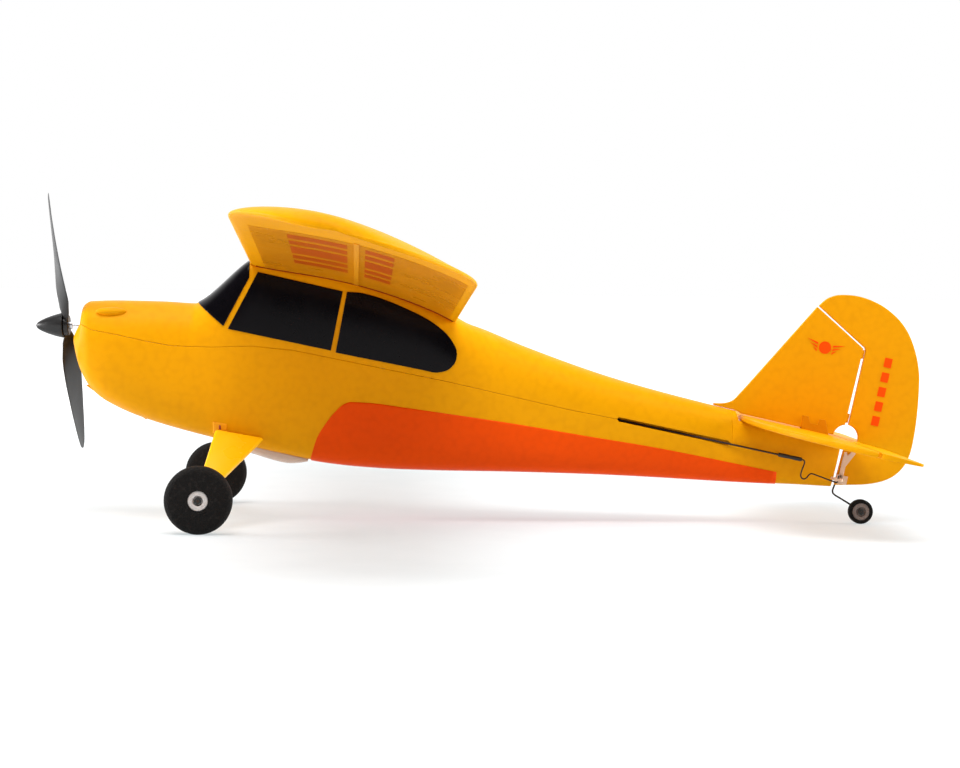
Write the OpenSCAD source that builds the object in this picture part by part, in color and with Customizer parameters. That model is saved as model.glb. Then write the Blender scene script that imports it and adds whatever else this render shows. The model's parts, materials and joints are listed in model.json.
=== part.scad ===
// Small foam high-wing park flyer, standing tail-down on its three wheels.
// Row frame: ground at z = 0, nose towards -X, port side towards -Y, +Z up.

/* [Wing] */
// Half of the wing span
half_span = 257.5; // [250:0.5:262]
// Chord of the wing inboard of the rounded tips
wing_chord = 86.8; // [84:0.2:88]
// Upward slope of each outer panel, degrees
dihedral = 5; // [3:0.1:6]
// Nose-up angle of the chord line in the standing attitude, degrees
wing_pitch = 15.2; // [14:0.1:15.4]
// Twist that lifts the trailing edge at the tip, degrees
washout = 0.4; // [0:0.1:4]

/* [Tail] */
// Half of the tailplane span
tail_half_span = 85; // [80:1:88]
// Thickness of the foam tail surfaces
tail_thick = 2.4; // [2:0.1:2.4]
// Half of the gap along each hinge line
hinge_gap = 0.45; // [0.45:0.05:0.6]
// Distance from each hinge axis to its control horn's hole
horn_arm = 9.4; // [9:0.1:9.6]

/* [Fuselage] */
// Largest half width, at the cabin
cabin_half_width = 20; // [19:0.5:21]
// Thickness of the foam shell
wall = 3; // [2.5:0.1:3.2]

/* [Undercarriage] */
// Radius of a main wheel
wheel_r = 13.35; // [13:0.05:13.7]
// Width of a main tyre
wheel_w = 9; // [8:0.5:10]
// Distance from the centre line to each main wheel
half_track = 64.5; // [62:0.5:67]
// Radius of the tail wheel
tail_wheel_r = 5.13; // [5:0.01:5.3]

/* [Drive] */
// Radius of the propeller
prop_r = 65; // [60:1:66]
// Angle of the upper blade from the vertical, towards port, degrees
blade_turn = 35; // [0:5:90]
// Teeth on the spur gear
spur_teeth = 40; // [40:1:40]
// Teeth on the motor pinion
pinion_teeth = 10; // [10:1:10]

/* [Hidden] */

FOAM = [0.95, 0.67, 0.02];
ORANGE = [0.86, 0.24, 0.02];
BLACK = [0.04, 0.04, 0.05];
STEEL = [0.62, 0.62, 0.64];
HORN = [0.86, 0.76, 0.64];

gap = 0.1;              // standing gap between pieces fixed to each other
run_fit = 0.05;         // radial clearance of a shaft that turns in a hole

// ---- general helpers ----

function unit(v) = v / norm(v);
function slope_at(p, i) =
    let (a = max(i - 1, 0), b = min(i + 1, len(p) - 1))
    (p[b][1] - p[a][1]) / (p[b][0] - p[a][0]);
function span_of(p, x, i = 0) = i >= len(p) - 2 || x < p[i + 1][0] ? i : span_of(p, x, i + 1);

// Smooth curve through the stations [x, value] of p, a cubic on each span
function curve(p, x) =
    let (
        i = span_of(p, x),
        h = p[i + 1][0] - p[i][0],
        t = min(max((x - p[i][0]) / h, 0), 1),
        t2 = t * t,
        t3 = t2 * t
    )
    (2 * t3 - 3 * t2 + 1) * p[i][1] + (t3 - 2 * t2 + t) * h * slope_at(p, i)
    + (3 * t2 - 2 * t3) * p[i + 1][1] + (t3 - t2) * h * slope_at(p, i + 1);

function bulge(c, n) = sign(c) * pow(abs(c), 2 / n);

// Closed solid through rings of equal length, each counter-clockwise seen from the last ring
module loft(rings) {
    n = len(rings[0]);
    m = len(rings);
    sides = [
        for (i = [0 : m - 2], j = [0 : n - 1])
            let (a = i * n + j, b = i * n + (j + 1) % n)
            each [[a, b + n, b], [a, a + n, b + n]]
    ];
    first_cap = [for (j = [0 : n - 1]) j];
    last_cap = [for (j = [n - 1 : -1 : 0]) (m - 1) * n + j];
    polyhedron([for (r = rings, p = r) p], concat(sides, [first_cap, last_cap]), convexity = 10);
}

// Its children's booleans as one finished shell, at its own size
module shell() {
    resize([0, 0, 0]) children();
}

// Round wire along a route of points; side is a direction no stretch runs along
module wire(route, r, side = [0, 1, 0], facets = 8) {
    last = len(route) - 1;
    loft([
        for (i = [0 : last])
            let (
                t = unit(route[min(i + 1, last)] - route[max(i - 1, 0)]),
                u = unit(cross(side, t)),
                v = cross(t, u)
            )
            [
                for (k = [0 : facets - 1])
                    route[i] + r * (cos(360 * k / facets) * u + sin(360 * k / facets) * v)
            ]
    ]);
}

// An outline drawn in X and Z, given a thickness that is centred on y = 0
module side_plate(thick) {
    rotate([90, 0, 0]) linear_extrude(thick, center = true) children();
}

// A cylinder along Y, centred on a point
module cross_cylinder(at, r, h, facets = 40) {
    translate(at) rotate([90, 0, 0]) cylinder(r = r, h = h, center = true, $fn = facets);
}

// ---- fuselage form ----

TOP_LINE = [
    [-169.4, 75.5], [-168.5, 77.5], [-167.5, 79.3], [-166.7, 80.6], [-166.5, 84.5], [-164.6, 87.8],
    [-162.5, 89.1], [-150, 89.6], [-132, 89.4], [-119, 88.8], [-117.3, 89.4], [-96.8, 106.4], [-94, 108],
    [-75, 106], [-12, 88], [-6, 82.3], [0, 80], [18.5, 72.3], [56, 59.6], [99, 48.6], [152, 37]
];
KEEL_LINE = [
    [-169.4, 70.5], [-168.6, 67], [-167.5, 63], [-165.6, 58.6], [-161.6, 52.9], [-154, 47.5], [-142, 42.2],
    [-127, 37.7], [-111, 33.8], [-85, 28], [-65.4, 24.2], [-50, 22.6], [-35, 21.8], [-16, 21.4], [6, 21.2],
    [36, 20.6], [59, 19.8], [106, 17.4], [123, 16.7], [152, 15.6]
];
WIDTH_LINE = [
    [-169.4, 6.5], [-168.6, 9], [-167.5, 11], [-165.6, 13], [-161.6, 15], [-152, 16.6], [-136, 17.6],
    [-119, 18.6], [-100, cabin_half_width], [-20, cabin_half_width], [0, 18.8], [30, 15.9], [56, 13.2],
    [80, 11], [100, 9], [125, 5.8], [152, 2.2]
];
// Squareness of the section above and below its widest level: 2 is an ellipse
TOP_SQUARE = [
    [-169, 2.1], [-150, 2.5], [-120, 3], [-104, 5], [-96, 7], [-24, 7], [4, 3], [56, 2.5], [152, 2.4]
];
KEEL_SQUARE = [[-169, 2.1], [-150, 2.6], [-120, 4], [-100, 5], [40, 4.6], [110, 3.4], [152, 2.6]];
SEAM_LINE = [
    [-175, 82.5], [-166.3, 80.2], [-160.5, 77.7], [-150.3, 76], [-137.8, 73.4], [-127.2, 71.7],
    [-111.5, 71.4], [-94.6, 72.1], [-77.7, 70.6], [-17.1, 59], [35.6, 47.3], [58.5, 43], [104, 33.5]
];
STATIONS = concat(
    [-169.4, -168.9, -168.2, -167.5, -166.7, -166.5, -165.6, -164.6, -162.5, -159, -154, -148, -140, -132],
    [-125, -119, -117.3, -113, -109, -105, -101, -96.8, -94],
    [for (x = [-86 : 8 : -22]) x], [-16, -12, -8, -4], [for (x = [2 : 10 : 142]) x], [152]
);
ring_points = 36;

function fuselage_ring(x, grow) =
    let (
        top = lookup(x, TOP_LINE) + grow,
        keel = curve(KEEL_LINE, x) - grow,
        w = curve(WIDTH_LINE, x) + grow,
        mid = (top + keel) / 2,
        h = (top - keel) / 2
    )
    [
        for (k = [0 : ring_points - 1])
            let (a = 360 * k / ring_points, n = lookup(x, sin(a) > 0 ? TOP_SQUARE : KEEL_SQUARE))
            [x, w * bulge(cos(a), n), mid + h * bulge(sin(a), n)]
    ];

// Fuselage form grown by a distance, between two stations
module fuselage_form(grow = 0, from = -170, to = 152) {
    loft([for (x = STATIONS) if (x >= from && x <= to) fuselage_ring(x, grow)]);
}

// Everything above the moulding seam, raised by a distance
module above_seam(raise = 0) {
    points = [for (p = SEAM_LINE) [p[0], p[1] + raise]];
    side_plate(60) polygon(concat(points, [[104, 130], [-175, 130]]));
}

// ---- wing form ----

wing_le = [-95.8, 106];          // leading edge of the centre section
centre_flat = 18;               // half width of the flat centre section
tip_start = 200;                // where the tips start to round off
camber = 0.055;                 // height of the mean line, in chords
thickness = 0.065;              // thickness, in chords
section_steps = 14;

function half_thick(t) =
    5 * thickness * (0.2969 * sqrt(t) - 0.126 * t - 0.3516 * t * t + 0.2843 * pow(t, 3) - 0.0945 * pow(t, 4));
function mean_line(t) = 4 * camber * t * (1 - t);
function chord_step(i) = (1 - cos(180 * i / section_steps)) / 2;
// Section of a chord of 1 from leading edge over the top to the trailing edge and back
SECTION = concat(
    [for (i = [0 : section_steps]) let (t = chord_step(i)) [t, mean_line(t) + half_thick(t)]],
    [for (i = [section_steps : -1 : 1]) let (t = chord_step(i)) [t, mean_line(t) - half_thick(t)]]
);

function tip_shrink(y) =
    y <= tip_start ? 1 : max(0.14, sqrt(1 - pow((y - tip_start) / (half_span - tip_start), 2.4)));
function wing_twist(y) = wing_pitch - washout * max(0, y - centre_flat) / (half_span - centre_flat);

// A point of the wing: chord fraction t and height z in chords, at spanwise station y
function wing_point(y, t, z) =
    let (
        c = wing_chord * tip_shrink(y),
        a = wing_twist(y),
        back = wing_chord * (1 - tip_shrink(y)) * 0.42,
        rise = max(0, y - centre_flat) * tan(dihedral)
    )
    [
        wing_le[0] + back * cos(a) + c * (t * cos(a) + z * sin(a)),
        y,
        wing_le[1] - back * sin(a) + rise + c * (z * cos(a) - t * sin(a))
    ];

WING_STATIONS = concat(
    [0, centre_flat, 60, 110, 160, tip_start],
    [for (s = [0.25, 0.45, 0.6, 0.72, 0.82, 0.9, 0.96, 1]) tip_start + s * (half_span - tip_start)]
);

module wing_panel(inner = gap / 2) {
    loft([for (y = WING_STATIONS) [for (p = SECTION) wing_point(max(y, inner), p[0], p[1])]]);
}

// Space above the underside of the centre section, where the cabin roof ends
module above_wing_underside(drop = gap) {
    under = [
        for (i = [0 : section_steps])
            let (t = chord_step(i), p = wing_point(0, t, mean_line(t) - half_thick(t)))
            [p[0], p[2] - drop]
    ];
    last = under[section_steps];
    side_plate(60)
        polygon(concat([[-96.4, 150], [-96.4, under[0][1]]], under, [last + [0.2, 0], last + [0.2, 70]]));
}

// ---- tail frame ----

tail_slope = 12.1;                              // droop of the tailplane in the standing attitude
tail_root = [107.6, 0, 44.2];                   // on the tailplane's middle plane
elevator_arm = 44.4;                            // from tail_root to the elevator hinge
elevator_chord = 17.2;
tail_corner = 1.8;                              // cut off the tailplane's rear corners
elevator_hinge = tail_root + elevator_arm * [cos(tail_slope), 0, -sin(tail_slope)];
rudder_hinge = [151.8, 0, 36];                  // a point of the rudder hinge axis
hinge_dir = [sin(tail_slope), 0, cos(tail_slope)];
elevator_notch = [3.4, 3];                      // where the elevator's centre cut-out starts
foot_hole = [152.6, 0, 36.2];                   // centre of the opening that the elevator passes through
foot_hole_r = 5.3;

function hinge_x(z) = rudder_hinge[0] + (z - rudder_hinge[2]) * tan(tail_slope);

module in_tail_frame() {
    translate(tail_root) rotate([0, tail_slope, 0]) children();
}

// Leading edge of the whole tailplane, measured aft from tail_root
tail_back = elevator_arm + elevator_chord;
function tail_edge(y) = tail_back - (tail_back - 0.6) * sqrt(max(0, 1 - pow(abs(y) / tail_half_span, 3.6)));
TAIL_PLAN = concat(
    [
        for (i = [-24 : 24])
            let (y = tail_half_span * sin(90 * i / 24))
            [min(tail_edge(y), tail_back - tail_corner), y]
    ],
    [for (side = [1, -1]) [tail_back, side * (tail_half_span - tail_corner)]]
);

// ---- shells and skins ----

shaft_foot = [-173.2, 1.2, 79];       // on the shaft axis, at the spinner's base
shaft_down = 1.5;                   // nose-down angle of the shaft
shaft_right = 3;                    // angle of the shaft towards starboard

// Local +Z runs forward along the propeller shaft, local +X is up
module on_shaft() {
    translate(shaft_foot) rotate([0, -90 - shaft_down, -shaft_right]) children();
}

rod_angle = 11.5;                   // droop of the pushrods
rod_ref = [56, 0, 43.1];            // where the pushrods reach the outside
rod_r = 0.4;
slot_half = 0.9;                    // half height of the pushrod slots

// Local +X runs aft along a pushrod; side is -1 to port and 1 to starboard
module on_rod(side) {
    translate(rod_ref + [0, side * horn_arm, 0]) rotate([0, rod_angle, 0]) children();
}

module rod_slots() {
    for (side = [-1, 1]) on_rod(side) {
        translate([-80, -1, -slot_half]) cube([80, 2, 2 * slot_half]);
        translate([0, side > 0 ? -1 : -19, -slot_half]) cube([47, 20, 2 * slot_half]);
    }
}

bay = [-104.6, -70.5];              // ends of the battery bay along X
bay_half = 11.3;                    // its half width
leg_top = [-108.3, 16, 37];         // where a gear leg enters the fuselage

module fuselage_cuts() {
    on_shaft() translate([0, 0, -14]) cylinder(r = 1.4, h = 12, $fn = 24);
    rod_slots();
    translate([bay[0], -bay_half, 10]) cube([bay[1] - bay[0], 2 * bay_half, 30]);
    translate([bay[0] - 1.2, -5.5, 10]) cube([3, 11, 26]);
    cross_cylinder([leg_top[0], 0, leg_top[2]], 1, 60, 16);
    cross_cylinder(foot_hole, foot_hole_r, 30);
    // seat of the tailplane and the space of the fin above it
    in_tail_frame() translate([-0.4, -20, -tail_thick / 2 - gap]) cube([70, 40, 40]);
    // tail post, parallel to the rudder hinge
    translate([hinge_x(0) - hinge_gap, -20, 0])
            rotate([0, tail_slope, 0]) translate([0, 0, -20]) cube([40, 40, 90]);
}

module fuselage_cavity() {
    fuselage_form(-wall, -162.5, 62);
}

module fuselage_upper() {
    color(FOAM) shell() difference() {
        intersection() {
            union() {
                fuselage_form(0, -166.5);
                for (side = [-1, 1])
                    translate([-152.5, side * 12, 84.6]) scale([1.6, 0.6, 0.5]) sphere(r = 4, $fn = 24);
            }
            above_seam(gap / 2);
        }
        fuselage_cavity();
        above_wing_underside();
        fuselage_cuts();
    }
}

module fuselage_lower() {
    color(FOAM) shell() {
        difference() {
            fuselage_form();
            above_seam(-gap / 2);
            fuselage_cavity();
            fuselage_cuts();
        }
        // ledges that the receiver board rests on
        for (side = [-1, 1]) on_board()
            translate([-18, side * 15.4 - 2.6, -3]) cube([36, 5.2, 2.4]);
    }
}

skin_off = 0.05;
skin_thick = 0.3;

// The part of a thin skin over the fuselage that lies inside an outline of X and Z
module skin(from, to) {
    shell() difference() {
        intersection() {
            fuselage_form(skin_thick, from, to);
            side_plate(60) children();
        }
        fuselage_form(skin_off, from, to);
        above_wing_underside();
        rod_slots();
    }
}

WINDSCREEN = [[-117.4, 89.3], [-106.5, 80.1], [-93.1, 103.2], [-93.1, 112], [-117.4, 112]];
MIDDLE_WINDOW = [[-92.7, 102.4], [-58.3, 95.2], [-62.8, 70.7], [-104.6, 79]];
REAR_WINDOW = [
    [-56.5, 95.2], [-60.8, 69.9], [-23.7, 62.9], [-20.3, 62.1], [-16.1, 62.6], [-12.6, 65.3], [-11.4, 69.7],
    [-12.4, 73.4], [-15.4, 77.6], [-22.8, 83.4], [-33.3, 89], [-40, 91.8], [-46.3, 94], [-52, 95.1]
];
SIDE_PANEL = [
    [-70.5, 26.7], [-68.1, 34.7], [-65.3, 39.7], [-61.2, 45.2], [-57, 49], [-54.5, 49.8], [-47, 49.5],
    [-32.8, 47.8], [9.3, 42], [43.2, 36.5], [72.3, 31.8], [123.2, 21.8], [122.6, 10], [-70.5, 10]
];

module windscreen_film() { color(BLACK) skin(-119, -86) polygon(WINDSCREEN); }

module side_window_film() {
    color(BLACK) {
        skin(-110, -54) polygon(MIDDLE_WINDOW);
        skin(-62, -4) polygon(REAR_WINDOW);
    }
}

module side_panels() { color(ORANGE) skin(-78, 132) polygon(SIDE_PANEL); }

// ---- wing pieces ----

module wing_right() { color(FOAM) wing_panel(); }

module wing_left() { mirror([0, 1, 0]) wing_right(); }

spar_t = 0.47;          // chord fraction of the spar strip
spar_half = 0.012;      // half of its width, in chords
spar_end = 205;
strip_off = 0.25;       // standing gap between the wing and the strips below it

function under(t) = mean_line(t) - half_thick(t);

// Thin strip on the underside, between chord fractions and spanwise stations
module underside_strip(t0, t1, y0, y1, drop, steps = 8) {
    loft([
        for (i = [0 : steps])
            let (y = y0 + (y1 - y0) * i / steps)
            [
                wing_point(y, t0, under(t0)) - [0, 0, strip_off],
                wing_point(y, t1, under(t1)) - [0, 0, strip_off],
                wing_point(y, t1, under(t1)) - [0, 0, strip_off + drop],
                wing_point(y, t0, under(t0)) - [0, 0, strip_off + drop]
            ]
    ]);
}

module wing_spars() {
    color([0.98, 0.85, 0.35])
        for (m = [0, 1]) mirror([0, m, 0])
            underside_strip(spar_t - spar_half, spar_t + spar_half, 22, spar_end, 0.6);
}

STRIPES = [[70, 84], [92, 106], [114, 142], [150, 164], [172, 186]];

module wing_stripes() {
    color(ORANGE)
        for (m = [0, 1], s = STRIPES) mirror([0, m, 0]) {
            underside_strip(0.2, 0.44, s[0], s[1], 0.25, 2);
            underside_strip(0.5, 0.74, s[0], s[1], 0.25, 2);
        }
}

// ---- tail pieces ----

module stabilizer() {
    color(FOAM) in_tail_frame() linear_extrude(tail_thick, center = true) intersection() {
        polygon(TAIL_PLAN);
        translate([-5, -100]) square([elevator_arm - hinge_gap + 5, 200]);
    }
}

module elevator() {
    far = elevator_arm + 20;
    color(FOAM) in_tail_frame() linear_extrude(tail_thick, center = true) difference() {
        polygon(TAIL_PLAN);
        translate([-5, -100]) square([elevator_arm + hinge_gap + 5, 200]);
        polygon([
            [elevator_arm + elevator_notch[0], -elevator_notch[1]], [far, -11.5],
            [far, 11.5], [elevator_arm + elevator_notch[0], elevator_notch[1]]
        ]);
    }
}

// Control horn outline: a slotted arm that tapers from its base, slot centred near arm
module horn_plate(arm, base, thick) {
    linear_extrude(thick, center = true) difference() {
        polygon([
            [-base / 2, 0.6], [base / 2, 0.6], [1.9, arm + 1], [1.2, arm + 2.2],
            [-1.2, arm + 2.2], [-1.9, arm + 1]
        ]);
        hull() for (r = [arm - 0.5, arm + 0.7]) translate([0, r]) circle(r = 0.85, $fn = 24);
    }
}

horn_side_y = 11;       // lateral place of the elevator horn's plate

module elevator_horn() {
    color(HORN) translate(elevator_hinge + [0, horn_side_y, 0]) rotate([0, tail_slope, 0]) {
        difference() {
            rotate([-90, 0, 0]) horn_plate(horn_arm, 5, 1);
            translate([-5, -5, -tail_thick / 2 - gap]) cube([10, 10, 10]);
            translate([-5, -5, -3.4]) cube([6, 10, 10]);
        }
        translate([hinge_gap + 0.2, -2.2, -tail_thick / 2 - gap - 0.8]) cube([6, 4.4, 0.8]);
    }
}

FIN_TOP = [139.6, 90.6];
FIN_SHOULDER = [159.5, 73.2];

module fin() {
    foot = tail_thick / 2 + 0.5;
    color(FOAM) {
        side_plate(tail_thick) difference() {
            polygon([
                [97.5, 46], [104.5, 49.6], [106.5, 51.2], [123, 71.5], FIN_TOP,
                FIN_SHOULDER, [hinge_x(73.2) - hinge_gap, 73.2], [hinge_x(30) - hinge_gap, 30], [100, 40]
            ]);
            translate([foot_hole[0], foot_hole[2]]) circle(r = foot_hole_r, $fn = 40);
            // clear of the fuselage top ahead of the tailplane
            polygon([for (x = [90 : 2 : 108]) [x, lookup(x, TOP_LINE) + gap], [108, 30], [90, 30]]);
            // clear of the tailplane
            translate([tail_root[0], tail_root[2]])
                rotate(-tail_slope) translate([-1.5, -30]) square([70, 30 + foot]);
        }
    }
}

// Flat generic winged roundel on both sides of the fin
module fin_emblem() {
    centre = [143.1, 73.8];
    color(ORANGE) for (side = [-1, 1]) translate([0, side * (tail_thick / 2 + 0.12), 0]) side_plate(0.14) {
        translate(centre) circle(r = 2.6, $fn = 32);
        for (m = [0, 1]) translate(centre) rotate(-tail_slope) mirror([m, 0])
            for (k = [0 : 2])
                polygon([[3.2, 1.6 - 1.5 * k], [8.2 - 1.6 * k, 2.4 - 1.5 * k], [3.2, 0.7 - 1.5 * k]]);
    }
}

RUDDER_EDGE = [
    [140.4, 91.3], [143.4, 94], [146, 95.2], [149.5, 95.9], [155.8, 95.6], [162, 93.9], [168.2, 90.8],
    [174.4, 85.6], [178.6, 79.6], [181.4, 72.4], [182.9, 65.5], [183.3, 59], [182.7, 46], [181.2, 34.5],
    [179.4, 27.8], [176.8, 23.4], [173, 20], [168, 17.8], [161.4, 16.6], [154, 16.3]
];

module rudder() {
    shoulder = FIN_SHOULDER + [0.8, 0.55];
    color(FOAM) {
        side_plate(tail_thick) difference() {
            polygon(concat(RUDDER_EDGE, [
                [hinge_x(16.3) + hinge_gap, 16.3], [hinge_x(73.2) + hinge_gap, 73.2], shoulder
            ]));
            translate([foot_hole[0], foot_hole[2]]) circle(r = foot_hole_r, $fn = 40);
        }
    }
}

// Plain bars down both sides of the rudder
module rudder_marks() {
    color(ORANGE) for (side = [-1, 1], k = [0 : 4])
        translate([0, side * (tail_thick / 2 + 0.12), 0]) side_plate(0.14)
            translate([169.8 - 1.2 * k, 67.7 - 6.1 * k])
                rotate(-tail_slope) square([3.2, 4], center = true);
}

rudder_horn_z = 19.2;

// Local +Z runs up the rudder hinge axis, with local X aft
module on_rudder_axis(z) {
    translate([hinge_x(z), 0, z]) rotate([0, tail_slope, 0]) children();
}

module rudder_horn() {
    color(HORN) on_rudder_axis(rudder_horn_z) {
        difference() {
            mirror([0, 1, 0]) horn_plate(horn_arm, 5, 1);
            translate([-5, -tail_thick / 2 - gap, -2]) cube([10, 10, 4]);
            translate([-5, -4.8, -2]) cube([6.3, 5, 4]);
        }
        translate([hinge_gap + 0.3, -tail_thick / 2 - gap - 0.8, -1.8]) cube([4.6, 0.8, 3.6]);
    }
}

// ---- drive ----

gear_module = 0.3;
pressure_angle = 25;
gear_z = -21;                   // front face of the gears, on the shaft axis
gear_w = 2;
centre_distance = gear_module * (spur_teeth + pinion_teeth) / 2 + 0.06;
shaft_r = 0.5;
motor_r = 4.25;
motor_len = 20;
plate_t = 1.6;
front_plate = -14;
rear_plate = -27;

function involute(base, a) =
    let (rad = a * PI / 180) base * [cos(a) + rad * sin(a), sin(a) - rad * cos(a)];
function turn(p, a) = [p[0] * cos(a) - p[1] * sin(a), p[0] * sin(a) + p[1] * cos(a)];

// Spur gear outline with involute flanks and stub teeth, a tooth centred on +X
module gear_outline(teeth) {
    pitch = gear_module * teeth / 2;
    base = pitch * cos(pressure_angle);
    root = pitch - 1.1 * gear_module;
    tip = pitch + 0.8 * gear_module;
    roll_tip = sqrt(pow(tip / base, 2) - 1) * 180 / PI;
    roll_pitch = tan(pressure_angle) * 180 / PI;
    half_tooth = 90 / teeth - 0.6;
    pitch_polar = roll_pitch - pressure_angle;
    flank = [
        for (i = [0 : 4])
            turn(involute(base, roll_tip * i / 4), -half_tooth - pitch_polar)
    ];
    start = max(root, 0.01);
    tooth = concat(
        [turn([start, 0], -half_tooth - pitch_polar - 0.3)],
        flank,
        [for (i = [4 : -1 : 0]) [flank[i][0], -flank[i][1]]],
        [turn([start, 0], half_tooth + pitch_polar + 0.3)]
    );
    polygon([for (k = [0 : teeth - 1], p = tooth) turn(p, 360 * k / teeth)]);
}

module spur_gear() {
    color([0.92, 0.92, 0.9]) on_shaft() translate([0, 0, gear_z - gear_w]) difference() {
        union() {
            linear_extrude(gear_w) rotate(180) gear_outline(spur_teeth);
            translate([0, 0, gear_w]) cylinder(r = 1.8, h = 1.4, $fn = 32);
        }
        translate([0, 0, -1]) cylinder(r = shaft_r + 0.02, h = 6, $fn = 32);
        for (k = [0 : 4]) rotate(72 * k) translate([3.7, 0, -1]) cylinder(r = 1.1, h = 4, $fn = 24);
    }
}

module at_pinion() {
    on_shaft() translate([-centre_distance, 0, 0]) children();
}

module pinion() {
    color([0.85, 0.7, 0.35]) at_pinion() {
        translate([0, 0, gear_z - gear_w]) linear_extrude(gear_w + 0.4)
            rotate(180 / pinion_teeth) gear_outline(pinion_teeth);
        translate([0, 0, rear_plate - 3]) cylinder(r = shaft_r, h = gear_z - rear_plate + 3.8, $fn = 24);
    }
}

module motor_can() {
    color(STEEL) at_pinion() translate([0, 0, rear_plate - motor_len]) difference() {
        union() {
            cylinder(r = motor_r, h = motor_len - gap, $fn = 48);
            cylinder(r = 1.5, h = motor_len + plate_t - gap, $fn = 24);
        }
        translate([0, 0, -1]) cylinder(r = motor_r - 0.4, h = 2.4, $fn = 48);
        translate([0, 0, 14]) cylinder(r = shaft_r + run_fit, h = 12, $fn = 24);
    }
}

module motor_endbell() {
    color([0.12, 0.12, 0.13]) at_pinion() translate([0, 0, rear_plate - motor_len - 0.6]) difference() {
        cylinder(r = motor_r - 0.5, h = 1.6, $fn = 48);
        for (side = [-1, 1]) translate([0, side * 2.2, -1]) cylinder(r = 0.55, h = 4, $fn = 16);
    }
}

module gearbox_frame() {
    rail = 8.2;
    color([0.15, 0.15, 0.16]) on_shaft() difference() {
        union() {
            for (p = [[front_plate, 11.2], [rear_plate, 12.8]])
                translate([-3.6, -p[1], p[0]]) cube([7.2, 2 * p[1], plate_t]);
            translate([-centre_distance - 5.4, -5.4, rear_plate]) cube([10, 10.8, plate_t]);
            for (side = [-1, 1])
                translate([-3.6, side * (rail + 0.4) - 0.6, rear_plate])
                    cube([7.2, 1.2, front_plate - rear_plate + plate_t]);
        }
        translate([0, 0, front_plate - 20]) cylinder(r = 1.3, h = 30, $fn = 32);
        translate([-centre_distance, 0, rear_plate - 1]) cylinder(r = 1.6, h = 5, $fn = 32);
        for (side = [-1, 1])
            translate([-centre_distance - 3.4, side * 3.4, rear_plate - 1])
                cylinder(r = 0.5, h = 5, $fn = 16);
    }
}

module shaft_bushings() {
    color([0.8, 0.62, 0.3]) on_shaft() for (z = [front_plate, rear_plate]) difference() {
        translate([0, 0, z]) cylinder(r = 1.28, h = plate_t + 0.5, $fn = 32);
        translate([0, 0, z - 1]) cylinder(r = shaft_r + run_fit, h = 5, $fn = 32);
    }
}

module gearbox_screws() {
    color(STEEL) on_shaft() for (side = [-1, 1])
        translate([-centre_distance - 3.4, side * 3.4, rear_plate + plate_t + gap]) difference() {
            cylinder(r = 0.9, h = 0.6, $fn = 24);
            translate([-0.15, -1, 0.3]) cube([0.3, 2, 1]);
        }
}

module prop_shaft() {
    color(STEEL) on_shaft() translate([0, 0, -28.5]) cylinder(r = shaft_r, h = 29.5, $fn = 32);
}

module shaft_collar() {
    color([0.55, 0.52, 0.5]) on_shaft() translate([0, 0, -3.7]) difference() {
        union() {
            cylinder(r = 1.5, h = 1.2, $fn = 32);
            translate([0, 0, 0.6]) rotate([0, 90, -60]) cylinder(r = 0.4, h = 2.1, $fn = 16);
        }
        translate([0, 0, -1]) cylinder(r = shaft_r + 0.02, h = 4, $fn = 32);
    }
}

hub_len = 2.4;
hub_r = 4.2;
// Blade stations: [radius fraction, chord, thickness]
BLADE = [
    [0.04, 6, 3], [0.1, 6.4, 2.8], [0.18, 8.2, 2.2], [0.3, 11.4, 1.7], [0.45, 13, 1.4], [0.6, 12.6, 1.2],
         [0.75, 10.8, 1], [0.87, 8.4, 0.8], [0.95, 5.8, 0.7], [0.99, 3.2, 0.6], [1, 1.4, 0.5]];
blade_pitch = 70;               // advance per turn

module propeller() {
    color(BLACK) on_shaft() rotate(-blade_turn) translate([0, 0, -hub_len / 2]) {
        difference() {
            translate([0, 0, -hub_len / 2]) cylinder(r = hub_r, h = hub_len - gap, $fn = 48);
            translate([0, 0, -4]) cylinder(r = shaft_r + 0.02, h = 8, $fn = 32);
        }
        for (side = [0, 180]) rotate(side) difference() {
            loft([
                for (s = BLADE)
                    let (r = max(s[0] * prop_r, 3.4), b = min(atan(blade_pitch / (2 * PI * r)), 38))
                    [
                        for (k = [0 : 15])
                            let (c = s[1] / 2 * cos(22.5 * k), t = s[2] / 2 * sin(22.5 * k))
                            [r, c * cos(b) - t * sin(b), c * sin(b) + t * cos(b)]
                    ]
            ]);
            cylinder(r = hub_r - 0.3, h = 10, center = true, $fn = 48);
            // clear of the spinner's base
            translate([0, 0, hub_len / 2 - gap]) cylinder(r = spinner_r + 0.2, h = 6, $fn = 48);
        }
    }
}

spinner_r = 5.2;
spinner_len = 11.5;

module spinner() {
    ogive = [
        for (i = [0 : 12])
            let (t = i / 12)
            [spinner_r * sqrt(1 - pow(t, 1.5)) * (1 - 0.25 * t), spinner_len * t]
    ];
    color(BLACK) on_shaft() difference() {
        rotate_extrude($fn = 64) polygon(concat([[0, 0]], ogive));
        translate([0, 0, -1]) cylinder(r = shaft_r + 0.05, h = 3, $fn = 32);
    }
}

// ---- control system ----

board_size = [38, 27, 1];
board_top = -5.3;               // height of the board's top face below the rods
servo_len = 21;
slider_x = -86;                 // place of a slider along its rod, from rod_ref

// On the board's middle, parallel to the pushrods
module on_board() {
    translate(rod_ref) rotate([0, rod_angle, 0]) translate([slider_x - 5, 0, board_top - 0.5]) children();
}

module receiver_board() {
    color([0.05, 0.25, 0.12]) on_board() difference() {
        cube(board_size, center = true);
        for (x = [-17, 17], y = [-11.5, 11.5])
            translate([x, y, 0]) cylinder(r = 0.8, h = 4, center = true, $fn = 24);
    }
}

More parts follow.
